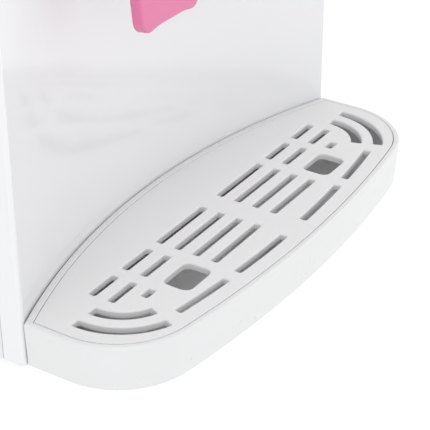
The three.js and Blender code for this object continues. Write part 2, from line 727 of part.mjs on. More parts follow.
// ---------------------------------------------------------------- cooler
function cooler() {
  const half = 20;
  const high = [coolerZ - half, coolerZ + half];
  const tank = bar('z', [0, seatY], [coolerZ - 60, coolerZ + 60], coldRadius + gap, 32);
  place('cold_block', cut(box([-half, half], [85, 112], high), tank), 'sink_aluminium');
  place('peltier_module', box([-half, half], [112.3, 116], high), 'module_ceramic');
  const fins = Array.from({ length: 11 }, (_, i) => -45 + i * 8.88);
  const comb = fins.map((x) => box([x, x + 1.2], [120, 141], [coolerZ - 42, coolerZ + 42]));
  const plate = box([-45, 45], [116.3, 121], [coolerZ - 42, coolerZ + 42]);
  place('heat_sink', join(plate, ...comb), 'sink_aluminium');
}

const fanFront = 141.3;
const fanDepth = 20;
const fanBore = 38;

function fan() {
  const rear = fanFront + fanDepth;
  const frame = cut(
    box([-40, 40], [fanFront, rear], [coolerZ - 40, coolerZ + 40]),
    bar('y', [0, coolerZ], [fanFront - 1, rear + 1], fanBore, 28),
    ...[-35, 35].flatMap((x) => [-35, 35].map((z) =>
      bar('y', [x, coolerZ + z], [fanFront - 1, rear + 1], 2.1, 6))),
  );
  const motor = bar('y', [0, coolerZ], [rear - 4, rear], 15, 18);
  const struts = [45, 165, 285].map((angle) => {
    const strut = box([10, fanBore + 1], [rear - 3, rear], [-2, 2]);
    return strut.rotate([0, angle, 0]).translate([0, 0, coolerZ]);
  });
  place('fan_frame', join(frame, motor, ...struts), 'fan_black');

  const hub = bar('y', [0, 0], [fanFront + 2, rear - 5], 15, 18);
  const blades = Array.from({ length: 7 }, (_, i) => {
    const blade = box([12, fanBore - 2], [-0.6, 0.6], [-7.5, 7.5]).rotate([38, 0, 0]);
    return blade.translate([0, fanFront + 9, 0]).rotate([0, (i * 360) / 7, 0]);
  });
  place('fan_rotor', join(hub, ...blades), 'fan_black').position.z = coolerZ;
}

// ---------------------------------------------------------------- hoses
function hose(name, points, steps = 12) {
  const section = new THREE.Shape(arc(0, 0, hoseRadius, 0, 300, 5));
  section.holes = [new THREE.Path(arc(0, 0, hoseBore, 0, 300, 5))];
  const path = new THREE.CatmullRomCurve3(points.map((p) => new THREE.Vector3(...p)), false, 'centripetal');
  const tube = new THREE.ExtrudeGeometry(section, { steps, bevelEnabled: false, extrudePath: path });
  place(name, solid(tube), 'hose_silicone');
}

function hoses() {
  const tankOutlet = coldBottom - nippleLength - gap;
  const stubEnd = -55.7;
  hose('cold_outlet_hose', [
    [35, 0, tankOutlet], [35, 0, 216], [41, -12, 209], [52, -28, 214], [tapX, -44, tapInletZ],
    [tapX, stubEnd, tapInletZ],
  ]);
  hose('hot_outlet_hose', [
    [hotX, hotY, hotTop + 12.3], [hotX, hotY, 211], [-48, 45, 219], [-54, 10, 222], [-57, -30, 222],
    [-tapX, stubEnd, tapInletZ],
  ]);
  hose('hot_feed_hose', [
    [20, 70, tankOutlet], [20, 70, 214], [26, 68, 190], [34, 62, 150], [33, hotY, 114],
    [25, hotY, 100], [hotX + hotRadius + 19.3, hotY, 100],
  ]);
  hose('drain_hose', [
    [hotX, hotY, hotBottom - 12.3], [hotX, 61, 64], [-36, 72, 50], [0, 108, 44], [44, 134, drainZ],
    [drainX, 141, drainZ], [drainX, 149.7, drainZ],
  ]);
}

// ---------------------------------------------------------------- rear fittings
function drain() {
  const spigot = cut(
    join(
      bar('y', [drainX, drainZ], [150, rearFace + 7], 6, 16),
      bar('y', [drainX, drainZ], [rearFace - wall - 3.3, rearFace - wall - gap], 11, 16),
    ),
    bar('y', [drainX, drainZ], [149, rearFace + 8], nippleBore, 8),
  );
  place('drain_spigot', spigot, 'seat_white');
  const ribs = Array.from({ length: 8 }, (_, i) =>
    box([8, 9.6], [rearFace + 1.5, depth / 2 - 0.6], [-1, 1]).rotate([0, i * 45, 0]));
  const cap = cut(
    join(bar('y', [0, 0], [rearFace + gap, depth / 2], 9, 16), ...ribs),
    bar('y', [0, 0], [rearFace - 1, rearFace + 7.3], 6.4, 16),
  );
  place('drain_cap', cap, 'fitting_black').position.set(drainX, 0, drainZ);
}

const rockerTilt = 7;

function switches() {
  const front = rearFace - 14;
  const rim = box([-24, 24], [rearFace + gap, rearFace + 2], [-15.5, 15.5]);
  const bodyBlock = box([-21.7, 21.7], [front, rearFace + 1], [-13.2, 13.2]);
  const wells = [-10.5, 10.5].map((x) => box([x - 7.6, x + 7.6], [front + 3, rearFace + 5], [-10.8, 10.8]));
  place('switch_frame', cut(join(rim, bodyBlock), ...wells), 'fitting_black')
    .position.set(switchX, 0, switchZ);
  const point = (y, z) => new THREE.Vector2(y, z);
  const rockerShape = thickSide([
    point(-5, -8.6), point(3.2, -9.6), point(1.4, 0), point(3.2, 9.6), point(-5, 8.6),
  ], [-7, 7]);
  for (const [name, x, finish] of [['hot_rocker', -10.5, 'rocker_red'], ['cold_rocker', 10.5, 'rocker_green']]) {
    const rocker = place(name, rockerShape, finish);
    rocker.position.set(switchX + x, rearFace - 1.5, switchZ);
    rocker.rotation.x = THREE.MathUtils.degToRad(-rockerTilt);
  }
}

function mainsInlet() {
  const back = rearFace - 22;
  const flange = box([-20, 20], [rearFace + gap, rearFace + 2], [-14, 14]);
  const shell = box([-14, 14], [back, rearFace + 1], [-10.5, 10.5]);
  const recess = thickFront(
    [[-12, -8], [12, -8], [12, 4], [8, 8], [-8, 8], [-12, 4]].map(([x, z]) => new THREE.Vector2(x, z)),
    [rearFace - 17, rearFace + 5],
  );
  const blades = [[-7, -2], [0, 2], [7, -2]].map(([x, z]) =>
    box([x - 1, x + 1], [rearFace - 18, rearFace - 5], [z - 2, z + 2]));
  place('mains_inlet', join(cut(join(flange, shell), recess), ...blades), 'fitting_black')
    .position.set(inletX, 0, inletZ);
}

function rearScrews() {
  for (const [side, x] of [['left', -120], ['right', 120]]) {
    const screw = join(
      bar('y', [0, 0], [rearFace + gap, rearFace + 2.4], 4, 12),
      bar('y', [0, 0], [rearFace - 9, rearFace + 1], 1.6, 8),
    );
    place(`${side}_rear_screw`, screw, 'screw_steel').position.set(x, 0, 375);
  }
}

// ---------------------------------------------------------------- indicator and boards
function indicator() {
  const lampHoles = [-14, 14].map((x) => bar('y', [x, 320], [-90, -60], 2.9, 14));
  const face = thickFront(rectangle([-35, 35], [309, 331], 4, 2), [panelMiddle - 4.2, panelMiddle - 1.9]);
  const plug = box([-32.1, 32.1], [panelMiddle - 3, panelMiddle + 6], [311.9, 328.1]);
  place('indicator_bezel', cut(join(face, plug), ...lampHoles), 'bezel_white');
  for (const [name, x, finish] of [['hot_lamp', -14, 'lamp_red'], ['cold_lamp', 14, 'lamp_blue']]) {
    const dome = join(
      bar('y', [0, 0], [panelMiddle - 4.8, panelMiddle + 9], 2.6, 14),
      bar('y', [0, 0], [panelMiddle + 6.5, panelMiddle + 9], 3.6, 14),
    );
    place(name, dome, finish).position.set(x, 0, 320);
  }
  const card = box([-45, 45], [panelMiddle + 9.4, panelMiddle + 11], [300, 338]);
  const chips = [[-30, 306], [0, 305], [26, 308]].map(([x, z]) =>
    box([x - 5, x + 5], [panelMiddle + 10.5, panelMiddle + 14], [z, z + 8]));
  place('control_board', join(card, ...chips), 'board_green');
}

function powerBoard() {
  const card = box([55, 135], [0, 70], [14, 15.6]);
  const transformer = box([62, 96], [30, 62], [15, 44]);
  const capacitors = [[112, 20], [112, 38]].map(([x, y]) => bar('z', [x, y], [15, 40], 7, 16));
  const relay = box([64, 84], [6, 22], [15, 32]);
  place('power_board', join(card, transformer, ...capacitors, relay), 'board_green');
}

frontShell();
sidePanels();
rearPanel();
topCover();
basePan();
feet();
dripTray();
dripGrille();
taps();
bottleSeat();
feedSpike();
coldTank();
coldInsulation();
hotTank();
hotFittings();
cooler();
fan();
hoses();
drain();
switches();
mainsInlet();
rearScrews();
indicator();
powerBoard();

export default machine;
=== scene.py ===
# The looks of the countertop water dispenser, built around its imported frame.
import json
import math

import bmesh
import bpy
from mathutils import Matrix, Vector
from mathutils.geometry import delaunay_2d_cdt


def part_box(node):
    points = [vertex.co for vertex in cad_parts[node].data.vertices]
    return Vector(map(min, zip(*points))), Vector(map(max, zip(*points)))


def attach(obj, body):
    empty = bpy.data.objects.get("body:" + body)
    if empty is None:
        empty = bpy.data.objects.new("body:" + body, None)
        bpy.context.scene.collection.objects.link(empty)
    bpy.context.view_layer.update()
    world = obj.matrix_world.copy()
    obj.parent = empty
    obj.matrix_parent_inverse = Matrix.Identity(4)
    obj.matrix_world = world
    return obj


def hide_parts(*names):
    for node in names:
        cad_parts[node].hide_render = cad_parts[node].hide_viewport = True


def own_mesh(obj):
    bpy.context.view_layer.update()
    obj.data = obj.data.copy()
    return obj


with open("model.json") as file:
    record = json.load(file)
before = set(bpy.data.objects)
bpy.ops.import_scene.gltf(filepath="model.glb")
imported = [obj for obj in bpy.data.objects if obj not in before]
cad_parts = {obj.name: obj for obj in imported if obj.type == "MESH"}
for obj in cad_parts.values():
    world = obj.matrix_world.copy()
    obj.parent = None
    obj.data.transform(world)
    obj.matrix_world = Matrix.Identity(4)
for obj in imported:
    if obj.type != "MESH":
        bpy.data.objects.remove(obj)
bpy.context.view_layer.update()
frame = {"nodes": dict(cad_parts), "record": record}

MM = 0.001
TAU = 2 * math.pi


def low(node):
    """The lowest corner of a CAD node's box."""
    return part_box(node)[0]


def high(node):
    """The highest corner of a CAD node's box."""
    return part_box(node)[1]


def centre(node):
    """The middle of a CAD node's box."""
    return (low(node) + high(node)) / 2


# ---------------------------------------------------------------- sizes, from the frame
HALF_WIDTH = high("front_shell").x
BODY_BASE = low("front_shell").z
BODY_TOP = high("front_shell").z
REAR_FACE = high("rear_panel").y
REAR_SEAM = low("rear_panel").y
SIDE_FRONT = low("left_side_panel").y
SIDE_BACK = high("left_side_panel").y
JOINT = 0.3 * MM
SIDE_SEAM = SIDE_FRONT - JOINT
TRAY_TIP = low("drip_tray").y
TRAY_TOP = high("drip_tray").z
TRAY_HALF = high("drip_tray").x
GRILLE_BOTTOM = low("drip_grille").z
WALL = HALF_WIDTH - low("right_side_panel").x

# edges of the casing's plates, in their own plane and across it
PANEL_CORNER = 0.4 * MM
PANEL_EDGE = 0.35 * MM

# plan of the bowed front
PANEL_RADIUS = 405 * MM
PANEL_MIDDLE = TRAY_TIP + 107.6 * MM
BOW_CENTRE = PANEL_MIDDLE - PANEL_RADIUS
CORNER_RADIUS = 2 * MM
REAR_CORNER_RADIUS = 12 * MM

# plan of the tray
TRAY_FRONT_RADIUS = 709 * MM
TRAY_CORNER_RADIUS = 46.5 * MM
TRAY_GAP = 0.6 * MM
TRAY_RIM = 3.4 * MM
TRAY_LEDGE = 3 * MM
TRAY_FLOOR = 3 * MM
TRAY_DRAFT = 1.5 * MM
BACK_EXTRA = 0.6 * MM

# grille pattern
SLOT_ROW_A = TRAY_TIP + 64.6 * MM
SLOT_PITCH = 11.53 * MM
SLOT_WIDTH = 4.3 * MM

# taps
TAP_X = centre("cold_tap_body").x
TAP_Y = centre("cold_tap_stem").y
TAP_INLET_Z = centre("cold_tap_nut").z
PIVOT_Y = centre("cold_tap_pin").y
PIVOT_Z = centre("cold_tap_pin").z
LEVER_TIP_Y = low("cold_tap_lever").y
LEVER_TIP_Z = low("cold_tap_lever").z
LEVER_WIDTH = high("cold_tap_lever").x - low("cold_tap_lever").x
TAP_HOLE = 9.7 * MM
PIN_HOLE = 2.3 * MM

# the hooks that hold the tray to the front, and their slots
HOOK_X = 60 * MM
HOOK_HALF = 10 * MM
HOOK_PLAY = 1 * MM
HOOK_ROOT = -84.5 * MM
HOOK_HEIGHTS = (12 * MM, 18 * MM)
HOOK_SLOT_HEIGHTS = (10 * MM, 20 * MM)

SEAT_Y = centre("bottle_seat").y
LAMP_Z = centre("indicator_bezel").z
VENT_HEIGHT = 3.6 * MM

# camera
CAMERA_LENS = 121.7
CAMERA_SHIFT = -0.030
CAMERA_PLACE = (-0.584, -0.4994, 0.4325)
CAMERA_WAY = (0.728, 0.462, -0.507)

# studio; each light has a name, size, power, place and the point it faces
FLOOR_GLOW = 0.8
SURROUND = 0.88
BACKDROP = 1.2  # the surround as the camera sees it
LIGHTS = [
    ("overhead", (1.6, 1.2), 3.3, (-0.2, -0.4, 1.7), (0, -0.1, 0.1)),
    ("right_panel", (0.9, 1.4), 3.6, (1.3, -1.0, 0.5), (-0.1, -0.08, 0.15)),
    ("left_panel", (0.5, 0.9), 1.2, (-0.75, -0.55, 0.6), (-0.14, -0.1, 0.12)),
]


# ---------------------------------------------------------------- outlines
def arc(x, y, radius, start, end, steps):
    """Points on an arc, in degrees."""
    turn = [math.radians(start + (end - start) * i / steps) for i in range(steps + 1)]
    return [Vector((x + radius * math.cos(a), y + radius * math.sin(a))) for a in turn]


def mirrored(right_half):
    """An outline symmetric about x = 0, from its right half."""
    left = [Vector((-p.x, p.y)) for p in reversed(right_half) if p.x > 1e-7]
    return list(right_half) + left


def rounded_rectangle(x0, x1, y0, y1, radius, grow=0.0, steps=4):
    """A rectangle with round corners, grown outwards on every side."""
    x0, x1, y0, y1 = x0 - grow, x1 + grow, y0 - grow, y1 + grow
    radius = max(radius + grow, 0.05 * MM)
    return (
        arc(x1 - radius, y0 + radius, radius, -90, 0, steps)
        + arc(x1 - radius, y1 - radius, radius, 0, 90, steps)
        + arc(x0 + radius, y1 - radius, radius, 90, 180, steps)
        + arc(x0 + radius, y0 + radius, radius, 180, 270, steps)
    )


def circle(x, y, radius, steps=32):
    """A closed circle that doesn't repeat its first point."""
    return arc(x, y, radius, 0, 360 * (steps - 1) / steps, steps - 1)


def filleted(corners, steps=4):
    """A closed outline whose corners, (x, y, radius), are rounded to their own radius."""
    points = []
    for i, (x, y, radius) in enumerate(corners):
        here = Vector((x, y))
        before = Vector(corners[i - 1][:2]) - here
        after = Vector(corners[(i + 1) % len(corners)][:2]) - here
        if radius == 0:
            points.append(here)
            continue
        half = before.angle(after) / 2
        reach = min(radius / math.tan(half), 0.49 * before.length, 0.49 * after.length)
        radius = reach * math.tan(half)
        start = here + before.normalized() * reach
        end = here + after.normalized() * reach
        middle = here + (before.normalized() + after.normalized()).normalized() * (
            radius / math.sin(half)
        )
        first = start - middle
        sweep = first.angle_signed(end - middle)
        for k in range(steps + 1):
            turned = first.copy()
            turned.rotate(Matrix.Rotation(-sweep * k / steps, 2))
            points.append(middle + turned)
    return points


def smooth_path(points, steps=6):
    """A line through the points, curved as a Catmull-Rom spline."""
    points = [Vector(p) for p in points]
    padded = [2 * points[0] - points[1], *points, 2 * points[-1] - points[-2]]
    line = []
    for k in range(len(points) - 1):
        a, b, c, d = padded[k : k + 4]
        for s in range(steps):
            t = s / steps
            line.append(
                0.5 * (2 * b + (c - a) * t + (2 * a - 5 * b + 4 * c - d) * t**2
                       + (3 * b - a - 3 * c + d) * t**3)
            )
    return line + [points[-1]]


def bow_angle(x, radius):
    """The angle, in degrees, from the middle of an arc to its point at x."""
    return math.degrees(math.asin(x / radius))


def bowed_front(inset, steps=48):
    """The right half of the front face in plan, from the middle round the corner."""
    radius = PANEL_RADIUS + inset
    rounding = max(CORNER_RADIUS - inset, 1 * MM)
    corner_x = HALF_WIDTH - inset - rounding
    turn = bow_angle(corner_x, radius + rounding)
    corner_y = BOW_CENTRE + (radius + rounding) * math.cos(math.radians(turn))
    return arc(0, BOW_CENTRE, radius, 90, 90 - turn, steps) + arc(
        corner_x, corner_y, rounding, -90 - turn, 0, 12
    )[1:]


def body_outline(inset):
    """The whole casing in plan, drawn in from its outer face."""
    rounding = max(REAR_CORNER_RADIUS - inset, 1 * MM)
    middle = HALF_WIDTH - REAR_CORNER_RADIUS, REAR_FACE - REAR_CORNER_RADIUS
    return mirrored(bowed_front(inset) + arc(*middle, rounding, 0, 90, 12))


def tray_outline(inset, back_inset):
    """The tray in plan; the back follows the front panel, the front is a long arc."""
    radius = TRAY_CORNER_RADIUS - inset
    front_centre = TRAY_TIP + TRAY_FRONT_RADIUS
    corner_x = TRAY_HALF - TRAY_CORNER_RADIUS
    reach = TRAY_FRONT_RADIUS - TRAY_CORNER_RADIUS
    corner_y = front_centre - math.sqrt(reach**2 - corner_x**2)
    turn = math.degrees(math.asin(corner_x / reach))
    back_radius = PANEL_RADIUS - TRAY_GAP - back_inset
    back_turn = bow_angle(TRAY_HALF - inset, back_radius)
    return mirrored(
        arc(0, front_centre, TRAY_FRONT_RADIUS - inset, -90, -90 + turn, 16)
        + arc(corner_x, corner_y, radius, -90 + turn, 0, 32)[1:]
        + arc(0, BOW_CENTRE, back_radius, 90 - back_turn, 90, 48)
    )


# ---------------------------------------------------------------- meshes
def inside(point, ring):
    """Whether a point lies within a closed outline."""
    crossings = 0
    for one, other in zip(ring, ring[1:] + ring[:1]):
        if (one.y > point.y) != (other.y > point.y):
            share = (point.y - one.y) / (other.y - one.y)
            crossings += point.x < one.x + share * (other.x - one.x)
    return crossings % 2 == 1


class Skin:
    """A closed surface put together from loops of points, strips between them and flat caps."""

    def __init__(self):
        self.points = []
        self.faces = []

    def loop(self, points):
        start = len(self.points)
        self.points.extend(Vector(p) for p in points)
        return list(range(start, len(self.points)))

    def flat_loop(self, outline, z):
        return self.loop([(p.x, p.y, z) for p in outline])

    def strip(self, one, other):
        for i in range(len(one)):
            j = (i + 1) % len(one)
            self.faces.append((one[i], one[j], other[j], other[i]))

    def stack(self, loops):
        for one, other in zip(loops, loops[1:]):
            self.strip(one, other)

    def cap(self, outer, holes=()):
        """Fills a flat loop, leaving the hole loops open."""
        rings = [outer, *holes]
        used = [i for ring in rings for i in ring]
        flat = [self.points[i].xy for i in used]
        edges = []
        start = 0
        for ring in rings:
            edges += [(start + k, start + (k + 1) % len(ring)) for k in range(len(ring))]
            start += len(ring)
        triangles = delaunay_2d_cdt(flat, edges, [], 1, 1e-9)[2]
        open_areas = [[self.points[i].xy for i in ring] for ring in holes]
        for triangle in triangles:
            middle = sum((flat[k] for k in triangle), Vector((0, 0))) / 3
            if not any(inside(middle, area) for area in open_areas):
                self.faces.append(tuple(used[k] for k in triangle))

    def mesh(self, name):
        mesh = bpy.data.meshes.new(name)
        mesh.from_pydata(self.points, [], self.faces)
        return mesh


def finish_mesh(name, mesh, smooth=35):
    """Turns a mesh into a scene object with outward normals, smooth up to an angle."""
    work = bmesh.new()
    work.from_mesh(mesh)
    bmesh.ops.remove_doubles(work, verts=work.verts, dist=2e-6)
    bmesh.ops.recalc_face_normals(work, faces=work.faces)
    work.to_mesh(mesh)
    work.free()
    mesh.shade_smooth()
    mesh.set_sharp_from_angle(angle=math.radians(smooth))
    made = bpy.data.objects.new(name, mesh)
    bpy.context.scene.collection.objects.link(made)
    return made


def weight_normals(made):
    """Keeps large flat faces flat beside their small roundings."""
    modifier = made.modifiers.new("normals", "WEIGHTED_NORMAL")
    modifier.keep_sharp = True
    modifier.weight = 100
    return made


def quarter(steps=4):
    """Shares (out, up) of the radius round a quarter circle, from its top to its side."""
    return [
        (math.sin(math.pi / 2 * k / steps), math.cos(math.pi / 2 * k / steps))
        for k in range(steps + 1)
    ]


def plate(outline, holes, thickness, edge, hole_edge=None, steps=4):
    """A flat plate from z = 0 up, with rounded edges.

    outline(grow) and each hole(grow) give a loop grown outwards by that much.
    """
    hole_edge = edge if hole_edge is None else hole_edge
    skin = Skin()

    def levels(radius):
        upper = [(a * radius, thickness - radius + b * radius) for a, b in quarter(steps)]
        return upper + [(a, thickness - z) for a, z in reversed(upper)]

    outer = [
        skin.flat_loop(outline(a - edge), z) for a, z in levels(edge)
    ]
    skin.stack(outer)
    inner = []
    for hole in holes:
        rings = [
            skin.flat_loop(hole(hole_edge - a), z) for a, z in levels(hole_edge)
        ]
        skin.stack(rings)
        inner.append(rings)
    skin.cap(outer[0], [rings[0] for rings in inner])
    skin.cap(outer[-1], [rings[-1] for rings in inner])
    return skin.mesh("plate")


def sliced(mesh, cuts, axis=0):
    """Cuts a mesh across, at each place along an axis, so that it can be bent there."""
    work = bmesh.new()
    work.from_mesh(mesh)
    bmesh.ops.remove_doubles(work, verts=work.verts, dist=2e-6)
    normal = Vector((0, 0, 0))
    normal[axis] = 1
    for place in cuts:
        bmesh.ops.bisect_plane(
            work,
            geom=work.verts[:] + work.edges[:] + work.faces[:],
            plane_co=normal * place,
            plane_no=normal,
            dist=1e-7,
        )
    work.to_mesh(mesh)
    work.free()
    return mesh


class Path:
    """A plan line that a flat plate is bent along: u is the way along it."""

    def __init__(self, points):
        self.points = points
        self.lengths = [0.0]
        for one, other in zip(points, points[1:]):
            self.lengths.append(self.lengths[-1] + (other - one).length)
        self.total = self.lengths[-1]
        self.directions = []
        for i in range(len(points)):
            before = points[max(i - 1, 0)]
            after = points[min(i + 1, len(points) - 1)]
            self.directions.append((after - before).normalized())

    def at(self, u):
        u = min(max(u, 0.0), self.total)
        for i in range(len(self.points) - 1):
            if u <= self.lengths[i + 1]:
                break
        share = (u - self.lengths[i]) / (self.lengths[i + 1] - self.lengths[i])
        place = self.points[i].lerp(self.points[i + 1], share)
        return place, self.directions[i].lerp(self.directions[i + 1], share).normalized()


def bend(mesh, path, shift=0.0):
    """Maps (u, height, depth) to the path's plan: depth runs to the left of the way along it."""
    sliced(mesh, [length - shift for length in path.lengths[1:-1]])
    for vertex in mesh.vertices:
        u, z, depth = vertex.co
        place, way = path.at(u + shift)
        vertex.co = (place.x - way.y * depth, place.y + way.x * depth, z)
    return mesh


AXIS_TURNS = {
    "x": Matrix.Rotation(math.pi / 2, 4, "Y"),
    "y": Matrix.Rotation(-math.pi / 2, 4, "X"),
    "z": Matrix(),
}


def turned(name, profile, at=(0, 0, 0), axis="z", sides=96, smooth=40):
    """A turned piece from a closed (radius, height) outline; heights run along the axis."""
    skin = Skin()
    rings = []
    for radius, height in profile:
        if radius < 1e-6:
            rings.append(skin.loop([(0, 0, height)]))
            continue
        ring = [
            (radius * math.cos(TAU * k / sides), radius * math.sin(TAU * k / sides), height)
            for k in range(sides)
        ]
        rings.append(skin.loop(ring))
    for one, other in zip(rings, rings[1:] + rings[:1]):
        if len(one) == 1 and len(other) == 1:
            continue
        if len(one) == 1 or len(other) == 1:
            tip, ring = (one[0], other) if len(one) == 1 else (other[0], one)
            skin.faces += [(tip, ring[k], ring[(k + 1) % sides]) for k in range(sides)]
            continue
        skin.strip(one, other)
    mesh = skin.mesh(name)
    mesh.transform(Matrix.Translation(at) @ AXIS_TURNS[axis])
    return finish_mesh(name, mesh, smooth)


def rod(name, radius, start, end, at, axis, sides):
    """A plain round rod between two places along an axis, as a tool to cut with."""
    profile = [(0, start), (radius, start), (radius, end), (0, end)]
    return turned(name, profile, at, axis, sides)


def filleted_turning(corners):
    """A turned profile in millimetres, (radius, height, rounding), as rounded points in metres."""
    return [(p.x * MM, p.y * MM) for p in filleted(corners)]


def thick_side(name, outline, x, width, edge):
    """A side view outline in millimetres, (y, z), made as wide as width about x."""
    skin = Skin()
    loops = []
    middle = sum((Vector(p) for p in outline), Vector((0, 0))) / len(outline)
    half = width / 2
    for along, inset in ((-half, edge), (-half + edge, 0), (half - edge, 0), (half, edge)):
        ring = [p + (middle - p).normalized() * inset for p in outline]
        loops.append(skin.loop([(along * MM + x, p.x * MM, p.y * MM) for p in ring]))
    skin.stack(loops)
    for loop in (loops[0], loops[-1]):
        skin.faces.append(tuple(loop))
    return finish_mesh(name, skin.mesh(name))


def cuboid(name, x, y, z, edge=0.4 * MM, steps=3):
    """A block with rounded edges between (low, high) pairs."""
    work = bmesh.new()
    bmesh.ops.create_cube(work, size=1)
    size = Vector((x[1] - x[0], y[1] - y[0], z[1] - z[0]))
    middle = Vector((x[0] + x[1], y[0] + y[1], z[0] + z[1])) / 2
    bmesh.ops.transform(
        work, matrix=Matrix.Translation(middle) @ Matrix.Diagonal((*size, 1)), verts=work.verts
    )
    bmesh.ops.bevel(
        work, geom=work.edges[:], offset=edge, segments=steps, profile=0.5, affect="EDGES"
    )
    mesh = bpy.data.meshes.new(name)
    work.to_mesh(mesh)
    work.free()
    return finish_mesh(name, mesh)


def combined(first, others, operation="UNION", smooth=35):
    """Joins or cuts closed pieces into the first one."""
    for other in others:
        modifier = first.modifiers.new("cut", "BOOLEAN")
        modifier.operation = operation
        modifier.solver = "MANIFOLD"
        modifier.object = other
    bpy.context.view_layer.update()
    depsgraph = bpy.context.evaluated_depsgraph_get()
    mesh = bpy.data.meshes.new_from_object(first.evaluated_get(depsgraph))
    first.modifiers.clear()
    first.data = mesh
    mesh.shade_smooth()
    mesh.set_sharp_from_angle(angle=math.radians(smooth))
    for other in others:
        bpy.data.objects.remove(other)
    return first


def show(piece, node, slot, body):
    """Gives a new piece its material and body, in place of its CAD node."""
    piece.data.materials.clear()
    piece.data.materials.append(MATERIALS[slot])
    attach(piece, body)
    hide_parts(node)
    return piece


# ---------------------------------------------------------------- materials
class Nodes:
    """A short way to write a Principled material's node tree."""

    def __init__(self, name):
        self.material = bpy.data.materials.new(name)
        self.material.use_nodes = True
        self.tree = self.material.node_tree
        self.shader = self.tree.nodes["Principled BSDF"]
        self.place = self.add("ShaderNodeTexCoord").outputs["Object"]

    def add(self, kind, **values):
        node = self.tree.nodes.new(kind)
        for key, value in values.items():
            if key in node.inputs:
                node.inputs[key].default_value = value
            else:
                setattr(node, key, value)
        return node

    def link(self, output, target):
        self.tree.links.new(output, target)

    def noise(self, scale, detail=3.0, roughness=0.5):
        node = self.add("ShaderNodeTexNoise", Scale=scale, Detail=detail, Roughness=roughness)
        self.link(self.place, node.inputs["Vector"])
        return node.outputs["Fac"]

    def ramp(self, source, low_value, high_value, start=0.3, end=0.7):
        node = self.add("ShaderNodeMapRange")
        for key, value in (
            ("From Min", start), ("From Max", end), ("To Min", low_value), ("To Max", high_value),
        ):
            node.inputs[key].default_value = value
        self.link(source, node.inputs["Value"])
        return node.outputs["Result"]

    def mix(self, factor, one, other):
        node = self.add("ShaderNodeMix", data_type="RGBA")
        self.link(factor, node.inputs["Factor"])
        node.inputs[6].default_value = (*one, 1)
        node.inputs[7].default_value = (*other, 1)
        return node.outputs[2]

    def bump(self, height, strength, distance):
        node = self.add("ShaderNodeBump", Strength=strength, Distance=distance)
        self.link(height, node.inputs["Height"])
        self.link(node.outputs["Normal"], self.shader.inputs["Normal"])
        return node


def moulded(name, color, rough, grain=900.0, depth=0.02 * MM, drift=0.03, coat=0.0, soft=0.0):
    """Moulded plastic: a faint drift of colour, uneven gloss and a fine moulded grain."""
    nodes = Nodes(name)
    darker = tuple(c * (1 - drift) for c in color)
    nodes.link(nodes.mix(nodes.noise(9.0), color, darker), nodes.shader.inputs["Base Color"])
    gloss = nodes.ramp(nodes.noise(60.0, 4.0), rough * 0.88, rough * 1.12)
    nodes.link(gloss, nodes.shader.inputs["Roughness"])
    nodes.bump(nodes.noise(grain, 2.0), 0.35, depth)
    nodes.shader.inputs["IOR"].default_value = 1.5
    nodes.shader.inputs["Coat Weight"].default_value = coat
    nodes.shader.inputs["Coat Roughness"].default_value = 0.06
    if soft:
        nodes.shader.inputs["Subsurface Weight"].default_value = soft
        nodes.shader.inputs["Subsurface Radius"].default_value = (1.0, 0.5, 0.5)
        nodes.shader.inputs["Subsurface Scale"].default_value = 1.5 * MM
    return nodes.material


def metal(name, color, rough, stretch=(1, 1, 60), depth=0.01 * MM):
    """Drawn or brushed metal: fine lines along one direction."""
    nodes = Nodes(name)
    mapping = nodes.add("ShaderNodeMapping")
    mapping.inputs["Scale"].default_value = stretch
    nodes.link(nodes.place, mapping.inputs["Vector"])
    lines = nodes.add("ShaderNodeTexNoise", Scale=40.0, Detail=4.0)
    nodes.link(mapping.outputs["Vector"], lines.inputs["Vector"])
    streaks = lines.outputs["Fac"]
    darker = tuple(c * 0.82 for c in color)
    nodes.link(nodes.mix(streaks, color, darker), nodes.shader.inputs["Base Color"])
    nodes.link(nodes.ramp(streaks, rough * 0.75, rough * 1.3), nodes.shader.inputs["Roughness"])
    nodes.bump(streaks, 0.3, depth)
    nodes.shader.inputs["Metallic"].default_value = 1.0
    return nodes.material


def foam(name, color, cell, depth):
    """Foamed beads or felt: cells that stand proud, darker between them."""
    nodes = Nodes(name)
    cells = nodes.add("ShaderNodeTexVoronoi", Scale=cell)
    nodes.link(nodes.place, cells.inputs["Vector"])
    distance = cells.outputs["Distance"]
    shade = nodes.ramp(distance, 0.0, 1.0, 0.0, 0.8)
    darker = tuple(c * 0.8 for c in color)
    nodes.link(nodes.mix(shade, color, darker), nodes.shader.inputs["Base Color"])
    nodes.bump(nodes.ramp(distance, 1.0, 0.0, 0.0, 0.8), 0.6, depth)
    nodes.shader.inputs["Roughness"].default_value = 0.9
    return nodes.material


def circuit_board(name):
    """Green solder mask over faint copper tracks."""
    nodes = Nodes(name)
    tracks = nodes.add("ShaderNodeTexBrick", Scale=120.0)
    tracks.inputs["Mortar Size"].default_value = 0.06
    nodes.link(nodes.place, tracks.inputs["Vector"])
    nodes.link(
        nodes.mix(tracks.outputs["Fac"], (0.02, 0.14, 0.06), (0.05, 0.26, 0.11)),
        nodes.shader.inputs["Base Color"],
    )
    nodes.bump(tracks.outputs["Fac"], 0.3, 0.05 * MM)
    nodes.shader.inputs["Roughness"].default_value = 0.35
    return nodes.material


def lens(name, color):
    """A tinted lamp lens with a moulded diffusing grain."""
    nodes = Nodes(name)
    brighter = tuple(min(1, c * 1.4 + 0.05) for c in color)
    nodes.link(nodes.mix(nodes.noise(500.0), color, brighter), nodes.shader.inputs["Base Color"])
    nodes.bump(nodes.noise(1500.0), 0.2, 0.02 * MM)
    nodes.shader.inputs["Roughness"].default_value = 0.12
    nodes.shader.inputs["Transmission Weight"].default_value = 0.25
    return nodes.material


